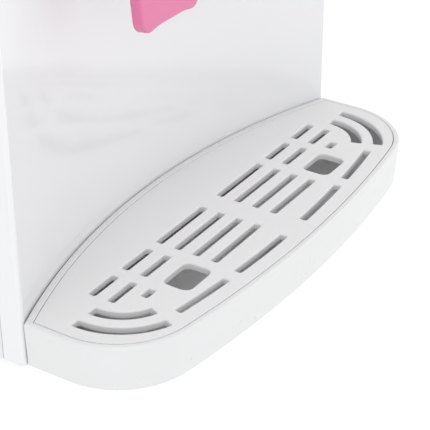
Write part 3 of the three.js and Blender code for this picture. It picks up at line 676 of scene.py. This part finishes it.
WHITE = (0.82, 0.825, 0.838)
PINK = (0.70, 0.165, 0.34)
MATERIALS = {
    "shell_white": moulded("shell_white", WHITE, 0.2, 260.0, 0.003 * MM, 0.012, coat=0.6),
    "panel_white": moulded("panel_white", (0.775, 0.78, 0.785), 0.34, 1400.0, 0.012 * MM, 0.02),
    "tray_white": moulded("tray_white", (0.755, 0.76, 0.765), 0.3, 1800.0, 0.004 * MM, 0.012),
    "grille_white": moulded("grille_white", (0.775, 0.775, 0.78), 0.36, 1800.0, 0.006 * MM, 0.015),
    "tap_white": moulded("tap_white", (0.80, 0.80, 0.81), 0.22, 700.0, 0.01 * MM, 0.015),
    "lever_pink": moulded("lever_pink", PINK, 0.24, 1800.0, 0.002 * MM, 0.02, coat=0.4, soft=0.12),
    "seat_white": moulded("seat_white", (0.78, 0.785, 0.79), 0.36, 1200.0, 0.03 * MM, 0.02),
    "spike_blue": moulded("spike_blue", (0.30, 0.52, 0.78), 0.3, 1000.0, 0.02 * MM, 0.05),
    "base_grey": moulded("base_grey", (0.42, 0.43, 0.45), 0.55, 700.0, 0.06 * MM, 0.08),
    "foot_rubber": moulded("foot_rubber", (0.03, 0.03, 0.033), 0.75, 1600.0, 0.08 * MM, 0.2),
    "seal_silicone": moulded("seal_silicone", (0.72, 0.71, 0.67), 0.5, 1000.0, 0.03 * MM, 0.06, soft=0.4),
    "hose_silicone": moulded("hose_silicone", (0.75, 0.75, 0.71), 0.42, 900.0, 0.02 * MM, 0.06, soft=0.4),
    "tank_steel": metal("tank_steel", (0.62, 0.63, 0.65), 0.28),
    "pin_steel": metal("pin_steel", (0.60, 0.61, 0.63), 0.25, (60, 1, 1)),
    "screw_steel": metal("screw_steel", (0.50, 0.51, 0.53), 0.35, (4, 4, 4)),
    "foam_white": foam("foam_white", (0.80, 0.80, 0.77), 420.0, 0.5 * MM),
    "felt_grey": foam("felt_grey", (0.27, 0.28, 0.30), 900.0, 0.4 * MM),
    "heater_mica": moulded("heater_mica", (0.34, 0.26, 0.15), 0.6, 500.0, 0.08 * MM, 0.3),
    "sink_aluminium": metal("sink_aluminium", (0.56, 0.58, 0.61), 0.4, (1, 60, 1)),
    "module_ceramic": moulded("module_ceramic", (0.80, 0.79, 0.74), 0.5, 1200.0, 0.02 * MM, 0.05),
    "fan_black": moulded("fan_black", (0.018, 0.018, 0.02), 0.45, 900.0, 0.03 * MM, 0.2),
    "fitting_black": moulded("fitting_black", (0.022, 0.022, 0.025), 0.42, 1300.0, 0.05 * MM, 0.2),
    "rocker_red": moulded("rocker_red", (0.50, 0.035, 0.04), 0.25, 800.0, 0.01 * MM, 0.08, coat=0.2),
    "rocker_green": moulded("rocker_green", (0.04, 0.30, 0.10), 0.25, 800.0, 0.01 * MM, 0.08, coat=0.2),
    "bezel_white": moulded("bezel_white", (0.72, 0.73, 0.76), 0.25, 900.0, 0.01 * MM, 0.02),
    "lamp_red": lens("lamp_red", (0.65, 0.07, 0.06)),
    "lamp_blue": lens("lamp_blue", (0.08, 0.25, 0.70)),
    "board_green": circuit_board("board_green"),
}


def paint_frame():
    """Every CAD node that stays gets its slot's material and softened edges."""
    for row in frame["record"]["subparts"]:
        node = frame["nodes"][row["node"]]
        node.data.materials.clear()
        node.data.materials.append(MATERIALS[row["material_slot"]])
        edges = node.modifiers.new("edges", "BEVEL")
        edges.width = 0.25 * MM
        edges.segments = 2
        edges.limit_method = "ANGLE"
        edges.angle_limit = math.radians(50)
        edges.harden_normals = True


# ---------------------------------------------------------------- casing
def reach_along(x):
    """How far round the bowed front a point at x lies from the middle."""
    return PANEL_RADIUS * math.asin(x / PANEL_RADIUS)


def front_shell():
    """The bowed panel with its corners, bent from one plate as wide as the line round it."""
    half = bowed_front(0) + [Vector((HALF_WIDTH, SIDE_SEAM))]
    path = Path([Vector((-p.x, p.y)) for p in reversed(half[1:])] + half)
    middle = path.total / 2

    def outline(grow):
        return rounded_rectangle(0, path.total, BODY_BASE, BODY_TOP, PANEL_CORNER, grow)

    def tap_hole(side):
        at = middle + side * reach_along(TAP_X)
        return lambda grow: circle(at, TAP_INLET_Z, TAP_HOLE + grow)

    def hook_slot(side):
        half = HOOK_HALF + HOOK_PLAY
        ends = sorted(middle + side * reach_along(HOOK_X + off) for off in (-half, half))
        return lambda grow: rounded_rectangle(*ends, *HOOK_SLOT_HEIGHTS, 0.8 * MM, grow)

    def window(grow):
        flange = 2.5 * MM
        corner = low("indicator_bezel")
        return rounded_rectangle(
            middle + corner.x + flange, middle - corner.x - flange,
            corner.z + flange, 2 * LAMP_Z - corner.z - flange, 0.5 * MM, grow,
        )

    holes = [tap_hole(-1), tap_hole(1), hook_slot(-1), hook_slot(1), window]
    mesh = bend(plate(outline, holes, WALL, PANEL_EDGE, steps=3), path)
    made = weight_normals(finish_mesh("bowed_front_panel", mesh, 30))
    show(made, "front_shell", "shell_white", "root")


def slots(across, first, pitch, count, height, radius=1.2 * MM):
    """Holes for a louvre: equal horizontal slots one above another."""
    def slot(k):
        z = first + k * pitch
        return lambda grow: rounded_rectangle(*across, z, z + height, radius, grow)

    return [slot(k) for k in range(count)]


def side_panels():
    """The two flat side walls with their louvres."""
    for side, node in ((-1, "left_side_panel"), (1, "right_side_panel")):
        vents = slots((92 * MM, 132 * MM), 250 * MM, 10 * MM, 7, VENT_HEIGHT)
        mesh = plate(
            lambda grow: rounded_rectangle(
                SIDE_FRONT, SIDE_BACK, BODY_BASE, BODY_TOP, PANEL_CORNER, grow
            ),
            vents, WALL, PANEL_EDGE, steps=3,
        )
        for vertex in mesh.vertices:
            y, z, depth = vertex.co
            vertex.co = (side * (HALF_WIDTH - depth), y, z)
        made = weight_normals(finish_mesh(node.replace("panel", "wall"), mesh, 30))
        show(made, node, "panel_white", "root")


def rear_panel():
    """The back of the casing with its louvres and the holes for the fittings."""
    corner = arc(
        HALF_WIDTH - REAR_CORNER_RADIUS, REAR_FACE - REAR_CORNER_RADIUS,
        REAR_CORNER_RADIUS, 0, 90, 12,
    )
    right = [Vector((HALF_WIDTH, REAR_SEAM))] + corner
    path = Path(right + [Vector((-p.x, p.y)) for p in reversed(right)])
    middle = path.total / 2

    def outline(grow):
        return rounded_rectangle(0, path.total, BODY_BASE, BODY_TOP, PANEL_CORNER, grow)

    def behind(node, edge):
        box_low, box_high = low(node), high(node)
        return lambda grow: rounded_rectangle(
            middle - box_high.x + edge, middle - box_low.x - edge,
            box_low.z + edge, box_high.z - edge, 0.8 * MM, grow,
        )

    def round_hole(node, radius):
        at = centre(node)
        return lambda grow: circle(middle - at.x, at.z, radius + grow)

    holes = slots((middle - 36 * MM, middle + 36 * MM), 256 * MM, 8 * MM, 10, VENT_HEIGHT)
    holes += slots((middle - 20 * MM, middle + 40 * MM), 95 * MM, 8 * MM, 5, VENT_HEIGHT)
    holes += [behind("switch_frame", 2 * MM), behind("mains_inlet", 3.5 * MM)]
    holes += [round_hole("drain_spigot", 7 * MM)]
    holes += [round_hole(f"{side}_rear_screw", 2.1 * MM) for side in ("left", "right")]
    mesh = bend(plate(outline, holes, WALL, PANEL_EDGE, steps=3), path)
    made = weight_normals(finish_mesh("louvred_back", mesh, 30))
    show(made, "rear_panel", "panel_white", "root")


def top_cover():
    """The cover: a rounded top edge, a mouth for the bottle seat, and posts for the cold tank."""
    top = high("top_cover").z
    bottom = BODY_TOP + JOINT
    edge = 5.5 * MM
    thick = 3 * MM
    lip = 0.4 * MM
    skin = Skin()
    outer = [skin.flat_loop(body_outline(lip), bottom)]
    outer += [skin.flat_loop(body_outline(0), bottom + lip)]
    outer += [
        skin.flat_loop(body_outline(edge * (1 - out)), top - edge * (1 - up))
        for up, out in quarter(8)
    ]
    skin.stack(outer)
    inner_edge = edge - 1 * MM
    inner = [skin.flat_loop(body_outline(WALL - lip), bottom)]
    inner += [skin.flat_loop(body_outline(WALL), bottom + lip)]
    inner += [
        skin.flat_loop(
            body_outline(WALL + inner_edge * (1 - out)), top - thick - inner_edge * (1 - up)
        )
        for up, out in quarter(4)
    ]
    skin.stack(inner)
    skin.strip(outer[0], inner[0])
    mouth = [
        skin.flat_loop([p + Vector((0, SEAT_Y)) for p in circle(0, 0, radius, 96)], z)
        for radius, z in (
            (92 * MM, top), (91.3 * MM, top - 0.3 * MM), (91 * MM, top - 1 * MM),
            (91 * MM, top - thick + 0.5 * MM), (91.5 * MM, top - thick),
        )
    ]
    skin.stack(mouth)
    skin.cap(outer[-1], [mouth[0]])
    skin.cap(inner[-1], [mouth[-1]])
    cover = finish_mesh("domed_top", skin.mesh("domed_top"), 30)
    weight_normals(cover)
    show(cover, "top_cover", "shell_white", "root")
    tank_posts(top - thick + 0.2 * MM)


def tank_posts(head):
    """Four posts under the cover that hold the cold tank down, up to the height head."""
    foot = high("cold_tank").z + JOINT
    radius = 4 * MM
    edge = 0.4 * MM
    spread = 96 * MM
    for k in range(4):
        angle = math.radians(45 + 90 * k)
        post = turned(
            f"tank_post_{k + 1}",
            [(0, foot), (radius - edge, foot), (radius, foot + edge), (radius, head), (0, head)],
            (spread * math.cos(angle), SEAT_Y + spread * math.sin(angle), 0), sides=24,
        )
        show(post, "top_cover", "shell_white", "root")


def feet():
    """Four rubber feet, hollowed underneath."""
    for end in ("front", "rear"):
        for side in ("left", "right"):
            node = f"{end}_{side}_foot"
            at = centre(node)
            top = high(node).z
            foot = turned(
                f"{end}_{side}_rubber",
                [(0, 0.6 * MM), (5 * MM, 0.6 * MM), (6 * MM, 0), (8.6 * MM, 0), (9.6 * MM, 0.5 * MM),
                 (10 * MM, 1.4 * MM), (10.4 * MM, top), (0, top)],
                (at.x, at.y, 0), sides=48,
            )
            show(foot, node, "foot_rubber", "root")


# ---------------------------------------------------------------- drip tray
def drip_tray():
    """One skin: underside, wall, rounded rim, ledge for the grille, basin."""
    rim_edge = 1.6 * MM
    lip_edge = 0.5 * MM
    foot_edge = 1.4 * MM
    floor_edge = 3 * MM
    ledge_edge = 0.4 * MM
    ledge_z = GRILLE_BOTTOM - JOINT
    floor_z = BODY_BASE + TRAY_FLOOR
    basin = TRAY_RIM + TRAY_LEDGE
    levels = [
        (TRAY_DRAFT + foot_edge * (1 - out), 0, BODY_BASE + foot_edge * (1 - down))
        for out, down in quarter(4)
    ]
    levels += [
        (rim_edge * (1 - out), 0.5 * rim_edge * (1 - out), TRAY_TOP - rim_edge * (1 - up))
        for up, out in quarter(6)
    ]
    levels += [
        (TRAY_RIM - lip_edge * (1 - out), TRAY_RIM + BACK_EXTRA - lip_edge * (1 - out),
         TRAY_TOP - lip_edge * (1 - up))
        for out, up in quarter(4)
    ]
    levels += [
        (TRAY_RIM, TRAY_RIM + BACK_EXTRA, ledge_z),
        (basin - ledge_edge, basin + BACK_EXTRA - ledge_edge, ledge_z),
        (basin, basin + BACK_EXTRA, ledge_z - ledge_edge),
    ]
    levels += [
        (basin + floor_edge * (1 - out), basin + BACK_EXTRA + floor_edge * (1 - out),
         floor_z + floor_edge * (1 - down))
        for down, out in reversed(quarter(5))
    ]
    skin = Skin()
    loops = [skin.flat_loop(tray_outline(inset, back), z) for inset, back, z in levels]
    skin.stack(loops)
    skin.cap(loops[0])
    skin.cap(loops[-1])
    tray = finish_mesh("tray_basin", skin.mesh("tray_basin"), 32)
    hooks = [
        cuboid(
            f"hook_{k}", (x - HOOK_HALF, x + HOOK_HALF), (HOOK_ROOT, high("drip_tray").y),
            HOOK_HEIGHTS, 0.8 * MM,
        )
        for k, x in enumerate((-HOOK_X, HOOK_X))
    ]
    for piece in (tray, *hooks):
        show(weight_normals(piece), "drip_tray", "tray_white", "tray")


def arc_slot(x, y, inner, outer, start, end, radius):
    """A slot with rounded corners, bent along an arc about (x, y); angles in degrees."""
    middle = (inner + outer) / 2

    def hole(grow):
        straight = rounded_rectangle(
            math.radians(start) * middle, math.radians(end) * middle, inner, outer, radius, grow
        )
        bent = []
        count = len(straight)
        for k, p in enumerate(straight):
            after = straight[(k + 1) % count]
            cuts = max(1, round(abs(after.x - p.x) / (3 * MM)))
            for c in range(cuts):
                q = p.lerp(after, c / cuts)
                angle = q.x / middle
                bent.append(Vector((x + q.y * math.cos(angle), y + q.y * math.sin(angle))))
        return bent

    return hole


def straight_slot(x0, x1, y0, y1, radius=1 * MM):
    """A straight slot with rounded corners."""
    return lambda grow: rounded_rectangle(x0, x1, y0, y1, radius, grow)


def mirror_hole(hole):
    """The same hole on the other side of the middle."""
    return lambda grow: [Vector((-p.x, p.y)) for p in hole(grow)]


def grille_holes():
    """The openings right of the middle; the left ones mirror them. Rows give x in millimetres."""
    def row(n, x0, x1):
        y = SLOT_ROW_A - n * SLOT_PITCH
        return straight_slot(x0 * MM, x1 * MM, y, y + SLOT_WIDTH)

    holes = [row(n, 7.5, 51.6) for n in range(4)]
    holes += [row(n, *ends) for n in range(2) for ends in ((59.4, 82.3), (89.8, 110.3))]
    holes.append(row(2, 90.1, 97.9))
    holes.append(
        straight_slot(59.5 * MM, 82.2 * MM, SLOT_ROW_A - 37.2 * MM, SLOT_ROW_A - 20.6 * MM, 4 * MM)
    )
    bend_radius = 660 * MM
    bend_centre = SLOT_ROW_A - 52.2 * MM + bend_radius
    for x0, x1 in ((9.9, 53.5), (62.5, 99.8)):
        ends = [-90 + bow_angle(x * MM, bend_radius) for x in (x0, x1)]
        holes.append(
            arc_slot(0, bend_centre, bend_radius - SLOT_WIDTH, bend_radius, *ends, 1 * MM)
        )
    for inner, outer in ((23.4, 29.6), (36.4, 42.1)):
        holes.append(
            arc_slot(94.8 * MM, SLOT_ROW_A - 7.7 * MM, inner * MM, outer * MM, -68, 3, 1 * MM)
        )
    return holes


def drip_grille():
    """The slotted plate that drops into the tray's rim."""
    clearance = TRAY_RIM + 0.35 * MM
    right = grille_holes()
    mesh = plate(
        lambda grow: tray_outline(clearance - grow, clearance + BACK_EXTRA - grow),
        right + [mirror_hole(hole) for hole in right],
        TRAY_TOP - GRILLE_BOTTOM, 0.35 * MM, 1.1 * MM, 5,
    )
    mesh.transform(Matrix.Translation((0, 0, GRILLE_BOTTOM)))
    made = weight_normals(finish_mesh("slotted_plate", mesh, 35))
    show(made, "drip_grille", "grille_white", "grille")


# ---------------------------------------------------------------- taps
def tap_body(side, name):
    """Spout, valve head, inlet stub with its flange, and the lug that carries the pin."""
    # radii and heights, or places along the inlet, in millimetres
    bore, spout, stub_radius, head, flange = 4.5, 8.5, 9.2, 12, 17
    chamber_radius = 9
    spout_end = low(f"{name}_body").z / MM
    spout_top, head_base, head_top, seat = 194, 202, 238, 208
    flange_front, flange_back, stub_back = -89, -85, -56
    neck_front, neck_back, neck_radius = -92, -87, 12.6
    lug_width = 9.2

    at = (side * TAP_X, TAP_Y, 0)
    body = turned(
        f"{name}_housing",
        filleted_turning([
            (bore, spout_end, 0.5), (spout, spout_end, 0.8), (spout, spout_top, 2),
            (head, head_base, 3), (head, head_top, 0.7), (chamber_radius, head_top, 0.3),
            (chamber_radius, seat, 0.2), (bore, seat - 3, 0.2),
        ]),
        at, sides=64,
    )
    stub_at = (side * TAP_X, 0, TAP_INLET_Z)
    stub = turned(
        "stub",
        filleted_turning([
            (bore, flange_front + 0.4, 0.2), (stub_radius, flange_front + 0.4, 0.2),
            (flange, flange_front, 0.9), (flange, flange_back, 0.6),
            (stub_radius, flange_back, 0.2), (stub_radius, stub_back, 0.8), (bore, stub_back, 0.4),
        ]),
        stub_at, "y", 64,
    )
    neck = turned(
        "neck",
        filleted_turning([
            (0, neck_front, 0), (neck_radius, neck_front, 0), (stub_radius, neck_back, 3),
            (0, neck_back, 0),
        ]),
        stub_at, "y", 64,
    )
    pivot = PIVOT_Y / MM, PIVOT_Z / MM
    lug_radius = 3.6
    lug_side = arc(*pivot, lug_radius, 0, 180, 12)
    lug_side += [Vector((pivot[0] - lug_radius, 236)), Vector((pivot[0] + 3.5, 228))]
    lug = thick_side("lug", lug_side, side * TAP_X, lug_width, 0.5)
    combined(body, [stub, neck, lug], smooth=30)

    inlet = rod("bore", bore * MM, TAP_Y, -50 * MM, stub_at, "y", 48)
    chamber = rod(
        "chamber", (chamber_radius - 0.02) * MM, seat * MM, (head_top + 1) * MM, at, "z", 64
    )
    pin_hole = rod(
        "pin_hole", PIN_HOLE, -6 * MM, 6 * MM, (side * TAP_X, PIVOT_Y, PIVOT_Z), "x", 32
    )
    combined(body, [inlet, chamber, pin_hole], "DIFFERENCE", 30)
    show(body, f"{name}_body", "tap_white", "root")


def lever_outline(length, grow):
    """The lever laid flat: u runs from the hood down to the tip, v across; in millimetres."""
    tip_half = LEVER_WIDTH / MM / 2
    top_half = tip_half - 5.2
    rise = 2
    right = [
        (-grow, top_half * 0.6, 0),
        (-grow, top_half - 1 + grow, 6),
        (26, top_half + 0.3 + grow, 8),
        (length + grow, tip_half + grow, 8.5),
        (length - rise + grow, tip_half * 0.42, 24),
    ]
    left = [(u, -v, r) for u, v, r in reversed(right)]
    return [p * MM for p in filleted(right + left, 8)]


def tap_lever(side, name):
    """A broad leaning blade with a hood over the head, two cheeks on the pin and a lifting fork."""
    tip = LEVER_TIP_Y / MM, LEVER_TIP_Z / MM
    lean = math.tan(math.radians(8))
    thick = 6.3 * MM
    edge = 1 * MM
    front = smooth_path([
        (-91.6, 259.4), (-100, 260.2), (-109, 259.9), (-116, 257.2), (-120.7, 250.4), (-123.3, 240),
    ])
    front += [
        Vector((tip[0] + (z - tip[1]) * lean, z)) for z in (230, 215, 200, 185, 175, tip[1])
    ]
    path = Path([p * MM for p in front])
    length = path.total / MM
    mesh = plate(lambda grow: lever_outline(length, grow / MM), [], thick, edge, steps=6)
    rows = 60
    sliced(mesh, [path.total * k / rows for k in range(1, rows)])

    def depth_share(u):
        """The hood is thin and thickens smoothly into the blade."""
        thin = 0.36
        t = min(max((u - 16 * MM) / (30 * MM), 0), 1)
        return thin + (1 - thin) * t * t * (3 - 2 * t)

    for vertex in mesh.vertices:
        u, x, depth = vertex.co
        place, way = path.at(u)
        depth *= depth_share(u)
        vertex.co = (side * TAP_X + x, place.x - way.y * depth, place.y + way.x * depth)
    blade = finish_mesh(f"{name}_paddle", mesh, 40)

    y, z = PIVOT_Y / MM, PIVOT_Z / MM
    cheek = [
        Vector((y, z)) + Vector(p)
        for p in ((-7, -5), (5, -5), (8, -1), (8, 10.6), (-4, 11.6), (-7, 9))
    ]
    cheek_offset, cheek_width = 8.1, 5.8
    cheeks = [
        thick_side("cheek", cheek, side * TAP_X + off * MM, cheek_width, 0.5)
        for off in (-cheek_offset, cheek_offset)
    ]
    fork_edge = 0.3 * MM
    fork_heights = ((z - 0.6) * MM, (z + 2.6) * MM)
    fork_root, prong_tip, bridge_end = y + 4.4, y + 15.4, y + 7.8
    prongs = [
        cuboid(
            "prong", (side * TAP_X + a * MM, side * TAP_X + b * MM),
            (fork_root * MM, prong_tip * MM), fork_heights, fork_edge,
        )
        for a, b in ((-10.6, -2.7), (2.7, 10.6))
    ]
    bridge = cuboid(
        "bridge", (side * TAP_X - 3 * MM, side * TAP_X + 3 * MM),
        (fork_root * MM, bridge_end * MM), fork_heights, fork_edge,
    )
    combined(blade, [*cheeks, *prongs, bridge], smooth=40)
    pin_hole = rod(
        "pin_hole", PIN_HOLE, -14 * MM, 14 * MM, (side * TAP_X, PIVOT_Y, PIVOT_Z), "x", 32
    )
    combined(blade, [pin_hole], "DIFFERENCE", 40)
    show(weight_normals(blade), f"{name}_lever", "lever_pink", f"{name.split('_')[0]}_lever")


def tap_spring(side, name):
    """A coil spring, closed at both ends; the real one shortens as the stem rises, this one keeps one
    length.
    """
    turns, steps, around = 6, 28, 10
    wire = 0.5 * MM
    radius = 4.2 * MM
    closed_share = 0.12
    bottom = low(f"{name}_spring").z + wire
    top = high(f"{name}_spring").z - wire
    skin = Skin()
    rings = []
    for k in range(turns * steps + 1):
        t = k / (turns * steps)
        angle = TAU * turns * t
        rise = min(max((t - closed_share) / (1 - 2 * closed_share), 0), 1)
        out = Vector((math.cos(angle), math.sin(angle), 0))
        middle = out * radius + Vector((side * TAP_X, TAP_Y, bottom + (top - bottom) * rise))
        rings.append(skin.loop([
            middle + out * (wire * math.cos(TAU * a / around))
            + Vector((0, 0, wire * math.sin(TAU * a / around)))
            for a in range(around)
        ]))
    skin.stack(rings)
    skin.faces += [tuple(rings[0]), tuple(rings[-1])]
    spring = finish_mesh(f"{name}_coil", skin.mesh("coil"), 60)
    show(spring, f"{name}_spring", "pin_steel", "root")
    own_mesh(spring)


# ---------------------------------------------------------------- bottle seat
def bottle_seat():
    """The funnel that the bottle stands in, with the blue spike that opens it."""
    # radii and heights in millimetres
    neck, well, mouth, flange = 12.4, 32, 90, 101
    base, rest, crown, wall = 352, 400.3, 410, 2.6
    at = (0, SEAT_Y, 0)
    bowl = turned(
        "bottle_funnel",
        filleted_turning([
            (neck, base, 0.4), (well, base, 3), (mouth - 6, rest - 8, 3), (mouth, rest - 2, 1),
            (mouth, rest, 0.2), (flange, rest, 0.5), (flange, rest + 2, 1),
            (mouth + 3, rest + 4.5, 4), (mouth + 2, crown, 1.4), (mouth - 2, crown, 1.6),
            (mouth - 3, rest + 2, 3), (mouth - 9, rest - 5, 4), (well - 1, base + wall, 5),
            (neck, base + wall, 0.4),
        ]),
        at, sides=160,
    )
    show(bowl, "bottle_seat", "seat_white", "bottle_seat")

    bore, stem, collar = 8, 12, 18
    foot, collar_foot, collar_top, shoulder, tip = 346, 355, 358, 386, 391
    spike = turned(
        "water_spike",
        filleted_turning([
            (bore, foot, 0.6), (stem, foot, 0.6), (stem, collar_foot, 0.5),
            (collar, collar_foot, 0.5), (collar, collar_top, 0.8), (stem, collar_top + 0.6, 1.5),
            (stem - 1, shoulder, 2), (bore + 0.6, tip, 0.8), (bore - 0.6, tip, 0.5),
        ]),
        at, sides=96,
    )
    ports = [
        rod(f"port_{axis}", 3.2 * MM, -14 * MM, 14 * MM, (0, SEAT_Y, 380 * MM), axis, 32)
        for axis in ("x", "y")
    ]
    combined(spike, ports, "DIFFERENCE", 30)
    show(spike, "feed_spike", "spike_blue", "bottle_seat")


# ---------------------------------------------------------------- stage
def stage():
    """A pale glowing floor, an even surround and three broad soft lights."""
    bpy.ops.mesh.primitive_plane_add(size=8, location=(0, 0, 0))
    floor = bpy.context.object
    floor.name = "floor"
    nodes = Nodes("floor_white")
    nodes.link(
        nodes.mix(nodes.noise(0.8), (0.27, 0.27, 0.27), (0.25, 0.25, 0.25)),
        nodes.shader.inputs["Base Color"],
    )
    nodes.shader.inputs["Roughness"].default_value = 0.7
    nodes.shader.inputs["Emission Color"].default_value = (1, 1, 1, 1)
    nodes.shader.inputs["Emission Strength"].default_value = FLOOR_GLOW
    floor.data.materials.append(nodes.material)

    world = bpy.data.worlds.new("studio")
    world.use_nodes = True
    background = world.node_tree.nodes["Background"]
    background.inputs["Color"].default_value = (1, 1, 1, 1)
    rays = world.node_tree.nodes.new("ShaderNodeLightPath")
    strength = world.node_tree.nodes.new("ShaderNodeMapRange")
    strength.inputs["To Min"].default_value = SURROUND
    strength.inputs["To Max"].default_value = BACKDROP
    world.node_tree.links.new(rays.outputs["Is Camera Ray"], strength.inputs["Value"])
    world.node_tree.links.new(strength.outputs["Result"], background.inputs["Strength"])
    bpy.context.scene.world = world

    for name, size, energy, place, aim in LIGHTS:
        data = bpy.data.lights.new(name, "AREA")
        data.shape = "RECTANGLE"
        data.size, data.size_y = size
        data.energy = energy
        lamp = bpy.data.objects.new(name, data)
        lamp.location = place
        lamp.rotation_euler = (Vector(aim) - Vector(place)).to_track_quat("-Z", "Y").to_euler()
        bpy.context.scene.collection.objects.link(lamp)


def camera():
    """Looks down at the tray from the front left, as a close view of the lower front."""
    data = bpy.data.cameras.new("camera")
    data.lens = CAMERA_LENS
    data.sensor_width = 36
    data.shift_x = CAMERA_SHIFT
    data.clip_start = 0.01
    data.clip_end = 50
    made = bpy.data.objects.new("camera", data)
    made.location = CAMERA_PLACE
    made.rotation_mode = "QUATERNION"
    made.rotation_quaternion = Vector(CAMERA_WAY).to_track_quat("-Z", "Y")
    bpy.context.scene.collection.objects.link(made)
    bpy.context.scene.camera = made


paint_frame()
front_shell()
side_panels()
rear_panel()
top_cover()
feet()
drip_tray()
drip_grille()
for tap_side, tap_name in ((-1, "hot_tap"), (1, "cold_tap")):
    tap_body(tap_side, tap_name)
    tap_lever(tap_side, tap_name)
    tap_spring(tap_side, tap_name)
bottle_seat()
stage()
camera()
bpy.context.scene.view_settings.view_transform = "Standard"
